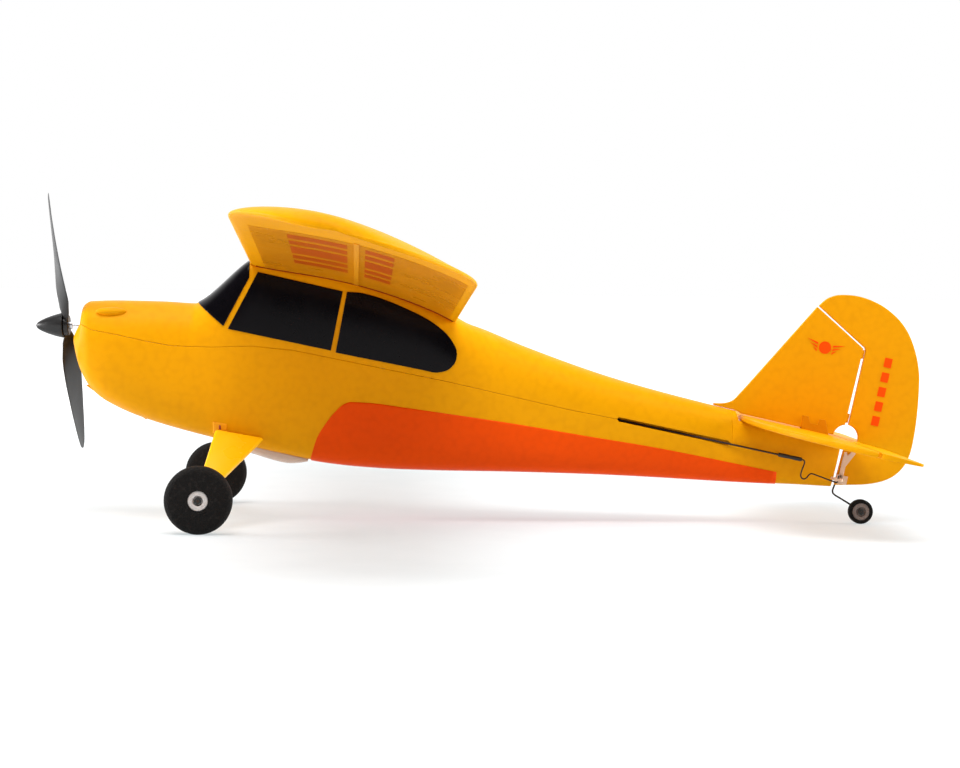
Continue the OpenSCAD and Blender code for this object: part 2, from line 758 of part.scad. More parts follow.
module board_chips() {
    color([0.1, 0.1, 0.11]) on_board() {
        translate([-4, 0, 1.2]) cube([7, 7, 1.2], center = true);
        translate([9, 0, 1.1]) cube([5, 4, 1], center = true);
        translate([-15.2, 0, 2]) cube([5, 12, 2.8], center = true);
    }
}

// Two linear actuators: open channels with a lead screw, one each side of the board
module servo_frames() {
    color([0.9, 0.9, 0.88]) for (side = [-1, 1]) on_rod(side) translate([slider_x - 4, 0, 0]) {
        for (x = [-servo_len / 2, servo_len / 2 - 2]) difference() {
            translate([x, -2.6, -4.2]) cube([2, 5.2, 7]);
            translate([x - 1, 0, 0]) rotate([0, 90, 0]) cylinder(r = 0.9, h = 4, $fn = 24);
        }
        translate([-servo_len / 2, -2.6, -5.2]) cube([servo_len, 5.2, 1]);
    }
}

module servo_slider(side) {
    color([0.2, 0.2, 0.22]) on_rod(side) translate([slider_x - 2, 0, 0]) difference() {
        translate([-1.6, -1.9, -3.2]) cube([3.2, 3.8, 5]);
        rotate([0, 90, 0]) cylinder(r = rod_r + 0.02, h = 8, center = true, $fn = 16);
    }
}

module rudder_servo_slider() { servo_slider(-1); }

module elevator_servo_slider() { servo_slider(1); }

coupler_x = 68.3;               // front end of the coupler sleeve, along the rod
coupler_len = 10.3;

module rod_rear_sleeve() {
    color([0.08, 0.08, 0.08]) rotate([0, 90, 0]) cylinder(r = 0.85, h = coupler_len, $fn = 24);
}

module rudder_coupler() {
    on_rod(-1) translate([coupler_x, 0, 0]) rod_rear_sleeve();
}

module elevator_coupler() {
    on_rod(1) translate([coupler_x, 0, 0]) rod_rear_sleeve();
}

// Ends of the two rods, in their own frames: down and up again in a bend for trimming, then the peg
RUDDER_BEND = [
    [78.6, 0, 0], [79.6, 0, -0.3], [79.9, 0, -1.4], [79.5, 0, -4], [79.4, 0, -6.2], [80, 0, -7.4],
    [81, 0, -7.7], [82, 0, -7.1], [82.8, 0, -5.6], [83.8, 0, -4.9], [86, 0, -5.1], [93.6, 0, -6.2],
    [94.8, 0, -6.2], [95.1, 0, -5.6], [95.1, 0, -3.2]
];
ELEVATOR_BEND = [
    [78.6, 0, 0], [80, 0, 0.3], [84, 0, 1.3], [86, 0, 1.5], [93.6, 0, 1.5], [94.3, 0.2, 1.5],
    [94.6, 1, 1.5], [94.6, 3.4, 1.5]
];

module rod_wire(route, side) {
    color(STEEL) on_rod(side) {
        translate([slider_x, 0, 0])
            rotate([0, 90, 0]) cylinder(r = rod_r, h = coupler_x - slider_x - gap, $fn = 16);
        wire([for (p = route) p + [gap, 0, 0]], 0.3, side > 0 ? [0, 0, 1] : [0, 1, 0]);
    }
}

module rudder_pushrod() { rod_wire(RUDDER_BEND, -1); }

module elevator_pushrod() { rod_wire(ELEVATOR_BEND, 1); }

// ---- battery bay ----

belly_slope = 12.8;
bay_front = [-104, 0, 32.2];            // hatch hinge
hatch_len = 33.5;
magnet_x = 29.5;                        // place of the magnets along the hatch
hatch_half = bay_half - 0.4;
hatch_depth = 3.6;

// Local +X runs aft along the belly, from the hatch hinge
module on_belly() {
    translate(bay_front) rotate([0, belly_slope, 0]) children();
}

function hatch_drop(x) = hatch_depth * pow(max(0, sin(180 * min(x, 24) / 48)), 0.6)
    * (x > 24 ? sqrt(max(0.01, 1 - pow((x - 24) / (hatch_len - 24), 2))) : 1);

module hatch_form(inset) {
    loft([
        for (x = [1 + inset, 2.5, 5, 9, 14, 19, 24, 27, 29.5, 31.5, hatch_len - 0.5 - inset])
            let (d = hatch_drop(x) + 0.6 - inset * 0.8, w = hatch_half - inset)
            [
                for (a = [180 : 15 : 360]) [x, w * bulge(cos(a), 3.2), d * bulge(sin(a), 3.2)],
                [x, w, 1.2 + inset], [x, -w, 1.2 + inset]
            ]
    ]);
}

module battery_hatch() {
    color([0.88, 0.78, 0.68]) on_belly() {
        shell() difference() {
            hatch_form(0);
            hatch_form(0.8);
            translate([-2, -5.4, -4]) cube([5.2, 10.8, 8]);
        }
        difference() {
            union() {
                rotate([90, 0, 0]) cylinder(r = 1.1, h = 10, center = true, $fn = 32);
                translate([0, -5, -0.5]) cube([3.8, 10, 1]);
                translate([2.8, -5, -1.9]) cube([1.2, 10, 2.4]);
            }
            rotate([90, 0, 0]) cylinder(r = 0.5 + run_fit, h = 30, center = true, $fn = 32);
        }
        translate([magnet_x, 0, -2.9]) cylinder(r = 2, h = 3.5, $fn = 32);
    }
}

module hatch_hinge_pin() {
    color(STEEL) cross_cylinder(bay_front, 0.5, 2 * bay_half + 2, 24);
}

module hatch_magnet() {
    color(STEEL) on_belly() translate([magnet_x, 0, 0.6 + gap]) cylinder(r = 1.5, h = 1, $fn = 32);
}

module catch_magnet() {
    color(STEEL) on_belly() translate([magnet_x, 0, 2.3]) {
        cylinder(r = 1.5, h = 1, $fn = 32);
        translate([-1.6, -bay_half - 2, 1.05]) cube([3.2, 2 * bay_half + 4, 0.8]);
    }
}

module battery() {
    color([0.72, 0.74, 0.78]) on_belly() translate([2.5, -8.5, 2.4]) cube([23.5, 17, 6]);
}

module battery_pad() {
    color([0.1, 0.1, 0.1]) on_belly() translate([4, -7, 8.5]) cube([20, 14, 1]);
}

module battery_tray() {
    color([0.78, 0.62, 0.4]) on_belly() translate([1, -16.9, 9.6]) difference() {
        cube([30, 33.8, 1.2]);
        for (x = [4, 26], y = [5, 28.8]) translate([x, y, -1]) cylinder(r = 1.2, h = 4, $fn = 24);
    }
}

// ---- internal leads ----

MOTOR_LEAD = [
    [-125, 0, 72], [-120, -1, 70], [-108, -3, 66.4], [-90, -4, 63.4], [-70, -4, 61.8], [-58, -4, 61.2],
    [-51, -4, 61]
];
BATTERY_LEAD = [
    [-77.2, 4, 31.8], [-74, 4, 31.6], [-70, 4, 33], [-68.5, 4, 38], [-67, 4, 46], [-62, 4, 55], [-56, 4, 60],
    [-51, 4, 61]
];

module motor_lead() {
    color([0.7, 0.1, 0.1]) for (y = [-0.8, 0.8]) wire([for (p = MOTOR_LEAD) p + [0, y, 0]], 0.5);
}

module battery_lead() {
    color([0.1, 0.1, 0.12]) for (y = [-0.8, 0.8]) wire([for (p = BATTERY_LEAD) p + [0, y, 0]], 0.5);
}

// ---- undercarriage ----

axle_x = -113.3;
axle_r = 0.6;
hub_outer = 4;

function leg_route(side) = [
    [leg_top[0], side * 10, leg_top[2]], [leg_top[0], side * 16.4, leg_top[2]],
    [leg_top[0] - 0.2, side * 18.6, leg_top[2] - 0.6], [leg_top[0] - 0.5, side * 21, leg_top[2] - 1.8],
    [axle_x + 0.3, side * 56.4, wheel_r + 1.6], [axle_x, side * 58.6, wheel_r + 0.3],
    [axle_x, side * 60, wheel_r]
];

module gear_wire() {
    color(STEEL) {
        cross_cylinder([leg_top[0], 0, leg_top[2]], axle_r, 21, 24);
        for (side = [-1, 1]) {
            wire(leg_route(side), axle_r - 0.02, [1, 0, 0], 12);
            cross_cylinder([axle_x, side * (half_track - 0.4), wheel_r], axle_r, 9.6, 24);
        }
    }
}

module gear_block() {
    color([0.2, 0.2, 0.22]) difference() {
        translate([leg_top[0] - 3, -9.5, leg_top[2] - 2.4]) cube([6, 19, 6]);
        cross_cylinder([leg_top[0], 0, leg_top[2]], axle_r + 0.03, 40, 24);
    }
}

module gear_side_plates() {
    color([0.88, 0.5, 0.04]) skin(-118, -97) difference() {
        translate([leg_top[0] - 2.8, leg_top[2] - 3]) square([6, 5.6]);
        translate([leg_top[0], leg_top[2]]) circle(r = 1.4, $fn = 24);
    }
}

// Flat plate tapering from the fuselage side to the axle
module leg_fairing_right() {
    inner = [[-108.6, 18, 36], [-91.2, 18, 32.8]];
    outer = [[-113.4, 55.5, 16.2], [-110.6, 55.5, 15.6]];
    color(FOAM) hull() for (p = concat(inner, outer)) translate(p) sphere(r = 1.1, $fn = 16);
}

module leg_fairing_left() { mirror([0, 1, 0]) leg_fairing_right(); }

// Rounded foam ring on a hub, turned about the Y axis
module foam_tyre(r, bore, w) {
    round_r = min(w * 0.3, (r - bore) * 0.49);
    rotate([90, 0, 0]) rotate_extrude($fn = 72) union() {
        translate([bore, -w / 2]) square([r - round_r - bore, w]);
        translate([bore, -w / 2 + round_r]) square([r - bore, w - 2 * round_r]);
        for (s = [-1, 1]) translate([r - round_r, s * (w / 2 - round_r)]) circle(r = round_r, $fn = 32);
    }
}

// Hub with a recess in each face, turned about the Y axis
module wheel_hub(r, w, bore, recess) {
    rotate([90, 0, 0]) difference() {
        cylinder(r = r, h = w, center = true, $fn = 64);
        cylinder(r = bore, h = w + 2, center = true, $fn = 32);
        for (s = [-1, 1])
            translate([0, 0, s * w / 2]) cylinder(r = recess, h = w * 0.5, center = true, $fn = 48);
    }
}

module main_tyre(side) {
    color([0.1, 0.1, 0.1])
        translate([axle_x, side * half_track, wheel_r]) foam_tyre(wheel_r, hub_outer, wheel_w);
}

module main_hub(side) {
    color([0.82, 0.8, 0.8]) translate([axle_x, side * half_track, wheel_r])
        wheel_hub(hub_outer - 0.02, wheel_w - 0.6, axle_r + run_fit, 2);
}

module tyre_left() { main_tyre(-1); }
module tyre_right() { main_tyre(1); }
module hub_left() { main_hub(-1); }
module hub_right() { main_hub(1); }

module wheel_retainers() {
    color([0.2, 0.2, 0.2]) for (side = [-1, 1]) difference() {
        cross_cylinder([axle_x, side * (half_track + 3.6), wheel_r], 1.3, 1.2, 32);
        cross_cylinder([axle_x, side * half_track, wheel_r], axle_r + 0.02, 30, 32);
    }
}

// ---- tail wheel ----

tail_axle = [159.7, 0, tail_wheel_r];
tail_wire_r = 0.4;
TAIL_WIRE = [
    [151.8, 0, 24], [149.6, 0, 18.6], [148.3, 0.2, 15.4], [147.9, 0.6, 13.6], [148.7, 1.3, 12.1],
    [157.6, 3, 6.7], [159, 3.2, 5.6], [159.7, 2.6, 5.13]
];

module tail_wheel_wire() {
    color(STEEL) {
        wire(TAIL_WIRE, tail_wire_r - 0.01, [0, 1, 0], 10);
        cross_cylinder(tail_axle + [0, 0.2, 0], tail_wire_r, 5.2, 24);
    }
}

module tail_tyre() {
    color([0.1, 0.1, 0.1]) translate(tail_axle) foam_tyre(tail_wheel_r, 3.7, 3.6);
}

module tail_hub() {
    color([0.5, 0.46, 0.43]) translate(tail_axle) wheel_hub(3.68, 3.2, tail_wire_r + run_fit, 1.9);
}

module tail_retainer() {
    color([0.15, 0.15, 0.15]) difference() {
        cross_cylinder(tail_axle + [0, -1.6, 0], 1.2, 0.8, 24);
        cross_cylinder(tail_axle, tail_wire_r + 0.02, 30, 24);
    }
}

// ---- nodes ----

fuselage_upper();
fuselage_lower();
windscreen_film();
side_window_film();
side_panels();
wing_left();
wing_right();
wing_spars();
wing_stripes();
stabilizer();
elevator();
elevator_horn();
fin();
fin_emblem();
rudder();
rudder_marks();
rudder_horn();
propeller();
spinner();
shaft_collar();
prop_shaft();
spur_gear();
pinion();
motor_can();
motor_endbell();
gearbox_frame();
shaft_bushings();
gearbox_screws();
receiver_board();
servo_frames();
board_chips();
rudder_servo_slider();
elevator_servo_slider();
rudder_pushrod();
rudder_coupler();
elevator_pushrod();
elevator_coupler();
battery();
battery_pad();
battery_tray();
battery_lead();
motor_lead();
battery_hatch();
hatch_hinge_pin();
hatch_magnet();
catch_magnet();
gear_wire();
gear_block();
gear_side_plates();
leg_fairing_left();
leg_fairing_right();
tyre_left();
hub_left();
tyre_right();
hub_right();
wheel_retainers();
tail_wheel_wire();
tail_tyre();
tail_hub();
tail_retainer();
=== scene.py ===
"""Looks of a small foam high-wing park flyer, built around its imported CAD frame.

Shapes are given in millimetres in the row frame (nose -X, port -Y, ground z = 0),
and add_piece() scales them to metres.
"""

import json
import math

import bmesh
import bpy
import numpy as np
from mathutils import Matrix, Vector


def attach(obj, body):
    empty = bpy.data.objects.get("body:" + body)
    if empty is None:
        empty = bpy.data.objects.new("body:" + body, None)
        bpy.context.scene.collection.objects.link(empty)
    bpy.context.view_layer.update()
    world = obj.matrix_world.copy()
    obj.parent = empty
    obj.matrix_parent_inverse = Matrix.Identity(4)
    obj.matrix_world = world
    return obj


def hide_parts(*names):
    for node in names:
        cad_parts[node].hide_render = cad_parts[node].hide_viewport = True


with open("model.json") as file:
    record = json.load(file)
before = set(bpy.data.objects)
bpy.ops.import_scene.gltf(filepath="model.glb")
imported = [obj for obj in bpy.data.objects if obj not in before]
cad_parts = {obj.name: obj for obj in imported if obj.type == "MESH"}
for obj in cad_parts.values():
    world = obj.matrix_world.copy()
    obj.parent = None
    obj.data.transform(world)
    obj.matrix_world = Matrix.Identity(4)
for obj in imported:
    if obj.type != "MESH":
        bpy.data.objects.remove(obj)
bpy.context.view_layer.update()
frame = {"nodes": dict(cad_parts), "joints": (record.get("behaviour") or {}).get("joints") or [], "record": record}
NODES = frame["nodes"]
MM = 0.001
JOINTS = {j["name"]: j for j in frame["joints"]}
SIDES = (("left", -1), ("right", 1))


# ---- material helpers ----

def new_material(name):
    """An empty material, its shader and a maker of nodes that takes sockets by name."""
    mat = bpy.data.materials.new(name)
    mat.use_nodes = True
    tree = mat.node_tree
    shader = tree.nodes["Principled BSDF"]

    def node(kind, links=(), **values):
        made = tree.nodes.new("ShaderNode" + kind)
        for key, value in values.items():
            if key.startswith("in_"):
                made.inputs[key[3:].replace("_", " ").title()].default_value = value
            else:
                setattr(made, key, value)
        for socket, source in dict(links).items():
            tree.links.new(source, made.inputs[socket])
        return made

    return mat, shader, node, tree.links.new


def ramp(node, source, stops):
    """Colour ramp over a value, from (position, colour) stops."""
    made = node("ValToRGB", {"Fac": source})
    points = made.color_ramp.elements
    while len(points) < len(stops):
        points.new(0.5)
    for point, (where, colour) in zip(points, stops):
        point.position = where
        point.color = (*colour, 1)
    return made.outputs["Color"]


def shade(colour, factor):
    """A colour made darker or lighter by a factor."""
    return tuple(min(1.0, c * factor) for c in colour)


def mix(node, first, second, share=None, blend_type="MIX"):
    """Mix of two colours by a share, or in full where no share is given."""
    made = node("Mix", {} if share is None else {"Factor": share}, data_type="RGBA", blend_type=blend_type)
    if share is None:
        made.inputs[0].default_value = 1.0
    for socket, source in ((6, first), (7, second)):
        if isinstance(source, tuple):
            made.inputs[socket].default_value = source
        else:
            made.id_data.links.new(source, made.inputs[socket])
    return made.outputs[2]


def moulded(name, colour, roughness, grain=900.0, depth=0.25, vary=0.1, metallic=0.0, coat=0.0,
            specular=0.5, rough_vary=0.08, sheen=0.0, transmission=0.0, stretch=None):
    """A surface with patchy colour, varied gloss, fine grain in its bump and lighter worn edges."""
    mat, shader, node, link = new_material(name)
    place = node("TexCoord").outputs["Object"]
    if stretch:
        place = node("Mapping", {"Vector": place}, in_Scale=stretch).outputs["Vector"]
    patches = node("TexNoise", {"Vector": place}, in_Scale=45.0, in_Detail=4.0).outputs["Fac"]
    fine = node("TexNoise", {"Vector": place}, in_Scale=grain, in_Detail=3.0).outputs["Fac"]
    both = node("Math", {0: patches, 1: fine}, operation="ADD").outputs["Value"]
    half = node("Math", {0: both}, operation="MULTIPLY")
    half.inputs[1].default_value = 0.5
    tone = ramp(node, half.outputs["Value"], [
        (0.3, shade(colour, 1 - vary)), (0.5, colour), (0.7, shade(colour, 1 + vary))])
    edges = ramp(node, node("NewGeometry").outputs["Pointiness"], [(0.5, (0, 0, 0)), (0.62, (1, 1, 1))])
    worn = mix(node, tone, (*shade(colour, 1 + 1.6 * vary), 1), edges)
    link(worn, shader.inputs["Base Color"])
    gloss = ramp(node, patches, [
        (0.3, (max(0.02, roughness - rough_vary),) * 3), (0.7, (min(1, roughness + rough_vary),) * 3)])
    link(gloss, shader.inputs["Roughness"])
    bump = node("Bump", {"Height": fine}, in_Strength=depth, in_Distance=0.15 * MM)
    link(bump.outputs["Normal"], shader.inputs["Normal"])
    shader.inputs["Metallic"].default_value = metallic
    shader.inputs["Coat Weight"].default_value = coat
    shader.inputs["Specular IOR Level"].default_value = specular
    shader.inputs["Sheen Weight"].default_value = sheen
    shader.inputs["Transmission Weight"].default_value = transmission
    return mat


def bead_foam(name, colour, roughness=0.42, painted_glints=0.0):
    """Painted bead foam: soft dimples between beads, an orange-peel skin and slight tone changes.

    The last argument gives the share of small bright glints painted into the colour: painted highlights, as a
    stretched clear tape shows them.
    """
    mat, shader, node, link = new_material(name)
    place = node("TexCoord").outputs["Object"]
    beads = node("TexVoronoi", {"Vector": place}, in_Scale=420.0, feature="SMOOTH_F1").outputs["Distance"]
    peel = node("TexNoise", {"Vector": place}, in_Scale=1100.0, in_Detail=2.0).outputs["Fac"]
    broad = node("TexNoise", {"Vector": place}, in_Scale=28.0, in_Detail=3.0).outputs["Fac"]
    tone = ramp(node, broad, [(0.3, shade(colour, 0.96)), (0.55, colour), (0.75, shade(colour, 1.03))])
    dips = ramp(node, beads, [(0.35, (1, 1, 1)), (0.75, (0.95, 0.93, 0.9))])
    dimpled = mix(node, tone, dips, blend_type="MULTIPLY")
    edges = ramp(node, node("NewGeometry").outputs["Pointiness"], [(0.52, (0, 0, 0)), (0.6, (0.6, 0.6, 0.6))])
    worn = mix(node, dimpled, (*shade(colour, 1.1), 1), edges)
    if painted_glints:
        # painted highlight: small bright glints mixed into the base colour, so from here on the colour carries
        # painted glints as well as worn edges
        glint_noise = node("TexNoise", {"Vector": place}, in_Scale=900.0, in_Detail=1.0).outputs["Fac"]
        glints = ramp(node, glint_noise, [(1 - painted_glints, (0, 0, 0)), (1.03 - painted_glints, (1, 1, 1))])
        worn = mix(node, worn, (1.0, 0.75, 0.3, 1), glints)
    link(worn, shader.inputs["Base Color"])
    gloss = ramp(node, broad, [(0.3, (roughness - 0.05,) * 3), (0.7, (roughness + 0.05,) * 3)])
    link(gloss, shader.inputs["Roughness"])
    big = node("Bump", {"Height": beads}, in_Strength=0.2, in_Distance=0.25 * MM, invert=True)
    small = node("Bump", {"Height": peel, "Normal": big.outputs["Normal"]}, in_Strength=0.3,
                 in_Distance=0.12 * MM)
    link(small.outputs["Normal"], shader.inputs["Normal"])
    shader.inputs["Specular IOR Level"].default_value = 0.06
    return mat


def sponge(name, colour):
    """Open-cell black sponge: a pitted skin with paler cell walls."""
    mat, shader, node, link = new_material(name)
    place = node("TexCoord").outputs["Object"]
    cells = node("TexVoronoi", {"Vector": place}, in_Scale=1900.0).outputs["Distance"]
    clumps = node("TexNoise", {"Vector": place}, in_Scale=700.0, in_Detail=6.0).outputs["Fac"]
    tone = ramp(node, clumps, [(0.3, shade(colour, 0.45)), (0.55, colour), (0.72, shade(colour, 2.6))])
    link(tone, shader.inputs["Base Color"])
    pits = node("Math", {0: cells, 1: clumps}, operation="ADD").outputs["Value"]
    bump = node("Bump", {"Height": pits}, in_Strength=0.8, in_Distance=0.3 * MM)
    link(bump.outputs["Normal"], shader.inputs["Normal"])
    link(ramp(node, clumps, [(0.3, (0.8,) * 3), (0.7, (0.96,) * 3)]), shader.inputs["Roughness"])
    shader.inputs["Specular IOR Level"].default_value = 0.2
    return mat


YELLOW = (0.80, 0.335, 0.0005)
MATERIALS = {
    "yellow_foam": bead_foam("yellow_foam", YELLOW),
    "orange_print": bead_foam("orange_print", (0.84, 0.072, 0.0003)),
    "black_film": moulded("black_film", (0.003, 0.0025, 0.0035), 0.14, grain=300, depth=0.03, vary=0.3,
                          specular=0.1, rough_vary=0.04),
    "spar_strip": moulded("spar_strip", (0.68, 0.27, 0.005), 0.4, specular=0.15, grain=500, depth=0.08,
                          vary=0.06, stretch=(1, 0.05, 1)),
    "horn_plastic": moulded("horn_plastic", (0.78, 0.56, 0.40), 0.4, vary=0.06, transmission=0.15),
    "black_plastic": moulded("black_plastic", (0.010, 0.009, 0.009), 0.36, grain=1500, depth=0.12, vary=0.3,
                             specular=0.4),
    "steel": moulded("steel", (0.55, 0.55, 0.57), 0.28, grain=1200, depth=0.1, vary=0.12, metallic=1.0,
                     stretch=(1, 1, 6)),
    "wire_steel": moulded("wire_steel", (0.045, 0.032, 0.026), 0.32, grain=1500, depth=0.1, vary=0.25,
                          metallic=0.9),
    "white_nylon": moulded("white_nylon", (0.82, 0.82, 0.78), 0.42, vary=0.05),
    "brass": moulded("brass", (0.72, 0.47, 0.16), 0.25, grain=1300, depth=0.08, vary=0.12, metallic=1.0),
    "dark_plastic": moulded("dark_plastic", (0.02, 0.02, 0.022), 0.45, grain=1500, depth=0.2, vary=0.25),
    "circuit_board": moulded("circuit_board", (0.01, 0.12, 0.04), 0.3, grain=1600, depth=0.2, vary=0.35,
                             coat=0.5),
    "heat_shrink": moulded("heat_shrink", (0.012, 0.012, 0.012), 0.5, grain=900, depth=0.2, vary=0.3),
    "battery_foil": moulded("battery_foil", (0.55, 0.57, 0.6), 0.3, grain=300, depth=0.4, vary=0.08,
                            metallic=0.7),
    "hook_pad": moulded("hook_pad", (0.02, 0.02, 0.02), 0.95, grain=2200, depth=1.0, vary=0.5, sheen=0.4),
    "plywood": moulded("plywood", (0.55, 0.36, 0.17), 0.6, grain=500, depth=0.3, vary=0.2,
                       stretch=(0.12, 1, 1)),
    "lead_sheath": moulded("lead_sheath", (0.3, 0.02, 0.015), 0.45, vary=0.12),
    "hatch_plastic": moulded("hatch_plastic", (0.80, 0.60, 0.48), 0.16, grain=260, depth=0.15, vary=0.06,
                             coat=0.4, transmission=0.25),
    "plate_plastic": moulded("plate_plastic", (0.85, 0.34, 0.003), 0.4, vary=0.08, specular=0.2),
    "fairing_plastic": moulded("fairing_plastic", (1.0, 0.52, 0.002), 0.3, grain=600, depth=0.06, vary=0.03),
    "foam_tyre": sponge("foam_tyre", (0.0075, 0.0065, 0.006)),
    "hub_plastic": moulded("hub_plastic", (0.62, 0.58, 0.56), 0.38, grain=1200, depth=0.1, vary=0.08),
    "tail_hub_plastic": moulded("tail_hub_plastic", (0.2, 0.155, 0.14), 0.4, grain=1200, depth=0.1,
                                vary=0.12),
}
# looks of pieces that share another piece's slot
JOINT_SHADE = bead_foam("joint_shade", (0.22, 0.018, 0.002))
# clear tape below the wing, coloured darker than the foam: painted shade of the underside, with painted glints
SHADED_UNDER_TAPE = bead_foam("shaded_under_tape", (0.60, 0.215, 0.002), roughness=0.3, painted_glints=0.25)
# foam darker than the rest: painted shade round the tabs at the fin's foot
SHADED_TAB_FOAM = bead_foam("shaded_tab_foam", (0.66, 0.235, 0.0005))
# printed bars below the wing, darker than the fuselage's print: painted shade of the underside, with painted
# glints
SHADED_PRINT = bead_foam("shaded_print", (0.46, 0.07, 0.003), roughness=0.35, painted_glints=0.2)
# the inner pieces keep their CAD meshes and get the looks of their slots
for part in frame["record"]["subparts"]:
    NODES[part["node"]].data.materials.clear()
    NODES[part["node"]].data.materials.append(MATERIALS[part["material_slot"]])


# ---- mesh helpers ----

MERGE = 0.004 * MM      # points closer than this become one


def add_piece(name, points, faces, slot, body="airframe", replaces=(), sharp=35.0, material=None):
    """A piece from points in millimetres, which rides on a body and may stand for CAD nodes."""
    mesh = bpy.data.meshes.new(name)
    mesh.from_pydata([Vector(p) * MM for p in points], [], faces)
    work = bmesh.new()
    work.from_mesh(mesh)
    bmesh.ops.remove_doubles(work, verts=work.verts, dist=MERGE)
    bmesh.ops.dissolve_degenerate(work, edges=work.edges, dist=0.5 * MERGE)
    bmesh.ops.recalc_face_normals(work, faces=work.faces)
    work.to_mesh(mesh)
    work.free()
    mesh.shade_smooth()
    mesh.set_sharp_from_angle(angle=math.radians(sharp))
    mesh.materials.append(material or MATERIALS[slot])
    piece = bpy.data.objects.new(name, mesh)
    bpy.context.scene.collection.objects.link(piece)
    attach(piece, body)
    if replaces:
        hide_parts(*replaces)
    return piece


def strip_faces(rows, columns, closed=False, first=0):
    """Quads between rows of points that are listed one after another."""
    reach = columns if closed else columns - 1
    return [
        (a, b, b + columns, a + columns)
        for i in range(rows - 1) for j in range(reach)
        for a, b in [(first + i * columns + j, first + i * columns + (j + 1) % columns)]
    ]


def add_sheet(name, rows, slot, **more):
    """An open sheet through rows of points."""
    points = [p for row in rows for p in row]
    return add_piece(name, points, strip_faces(len(rows), len(rows[0])), slot, **more)


def around(count):
    """Angles evenly round a full turn."""
    return [2 * math.pi * k / count for k in range(count)]


def loft(rings, caps=True):
    """Points and faces of a tube through closed rings of equal length."""
    count = len(rings[0])
    points = [p for ring in rings for p in ring]
    faces = strip_faces(len(rings), count, closed=True)
    if caps:
        for start in (0, (len(rings) - 1) * count):
            points.append(np.mean(points[start:start + count], axis=0))
            faces += [(len(points) - 1, start + j, start + (j + 1) % count) for j in range(count)]
    return points, faces


def join(*meshes):
    """Several (points, faces) as one."""
    points, faces = [], []
    for more_points, more_faces in meshes:
        faces += [tuple(i + len(points) for i in f) for f in more_faces]
        points += [tuple(p) for p in more_points]
    return points, faces


def ovoid(centre, radii):
    """An ellipsoid whose poles lie along X."""
    steps, sides = 16, 32
    rings = []
    for i in range(steps + 1):
        a = math.pi * i / steps
        r = max(0.02, math.sin(a))
        rings.append([
            (centre[0] - radii[0] * math.cos(a), centre[1] + radii[1] * r * math.cos(b),
             centre[2] + radii[2] * r * math.sin(b))
            for b in around(sides)])
    return loft(rings)


def axes_for(direction):
    """A unit vector along a direction and two more square to it."""
    along = Vector(direction).normalized()
    side = Vector((0, 0, 1)) if abs(along.z) < 0.9 else Vector((1, 0, 0))
    across = along.cross(side).normalized()
    return along, across, across.cross(along)


def lathe(profile, centre, direction, segments=96):
    """A turned form from (distance along the axis, radius) points; a closed profile makes a ring."""
    along, across, up = axes_for(direction)
    rings = []
    for a in around(segments):
        spoke = across * math.cos(a) + up * math.sin(a)
        rings.append([Vector(centre) + along * s + spoke * r for s, r in profile])
    points = [p for ring in rings for p in ring]
    count = len(profile)
    faces = []
    for i in range(segments):
        for j in range(count - 1):
            a, b = i * count + j, ((i + 1) % segments) * count + j
            faces.append((a, a + 1, b + 1, b))
    return points, faces


def smooth_route(route, steps=6):
    """A route of points with rounded corners, by Catmull-Rom stretches between them."""
    p = [np.array(q, float) for q in route]
    p = [2 * p[0] - p[1], *p, 2 * p[-1] - p[-2]]
    out = []
    for i in range(1, len(p) - 2):
        a, b, c, d = p[i - 1:i + 3]
        for t in np.linspace(0, 1, steps, endpoint=False):
            out.append(0.5 * (2 * b + (c - a) * t + (2 * a - 5 * b + 4 * c - d) * t ** 2
                              + (3 * b - a - 3 * c + d) * t ** 3))
    return [*out, p[-2]]


def tube(route, radius, sides=16):
    """Round wire along a route, its section carried along without twisting."""
    route = [Vector(p) for p in route]
    last = len(route) - 1
    normal = None
    rings = []
    for i, at in enumerate(route):
        along = (route[min(i + 1, last)] - route[max(i - 1, 0)]).normalized()
        if normal is None:
            normal = along.orthogonal().normalized()
        normal = (normal - along * normal.dot(along)).normalized()
        other = along.cross(normal)
        rings.append([
            at + radius * (math.cos(a) * normal + math.sin(a) * other) for a in around(sides)])
    return loft(rings)


def bevelled(piece, width, segments=4):
    """Rounded edges where faces meet at more than 30 degrees."""
    edge = piece.modifiers.new("rounded_edges", "BEVEL")
    edge.width = width * MM
    edge.segments = segments
    edge.limit_method = "ANGLE"
    edge.angle_limit = math.radians(30)
    edge.harden_normals = True
    return piece


def thickened(piece, thick, offset=1.0):
    """A sheet's thickness, which grows along its faces' direction, or against it for an offset of -1."""
    shell = piece.modifiers.new("thickness", "SOLIDIFY")
    shell.thickness = thick * MM
    shell.offset = offset
    return piece


def outward(piece, axis, sign):
    """Turns a sheet's faces towards one end of an axis."""
    lean = sum(p.normal[axis] * p.area for p in piece.data.polygons)
    if lean * sign < 0:
        piece.data.flip_normals()


def straight(x, table):
    """Value at x of straight lines through the stations."""
    return np.interp(x, [p[0] for p in table], [p[1] for p in table])


def curve(x, table):
    """Smooth curve through the stations, without overshoot."""
    xs = np.array([p[0] for p in table], float)
    ys = np.array([p[1] for p in table], float)
    rise = np.diff(ys) / np.diff(xs)
    slope = np.zeros(len(xs))
    slope[0], slope[-1] = rise[0], rise[-1]
    same = rise[:-1] * rise[1:] > 0
    inner = np.zeros(len(xs) - 2)
    inner[same] = 2 * rise[:-1][same] * rise[1:][same] / (rise[:-1][same] + rise[1:][same])
    slope[1:-1] = inner
    i = int(np.clip(np.searchsorted(xs, x, side="right") - 1, 0, len(xs) - 2))
    h = xs[i + 1] - xs[i]
    t = min(max((x - xs[i]) / h, 0), 1)
    return float((2 * t ** 3 - 3 * t ** 2 + 1) * ys[i] + (t ** 3 - 2 * t ** 2 + t) * h * slope[i]
                 + (3 * t ** 2 - 2 * t ** 3) * ys[i + 1] + (t ** 3 - t ** 2) * h * slope[i + 1])


# ---- wing form ----

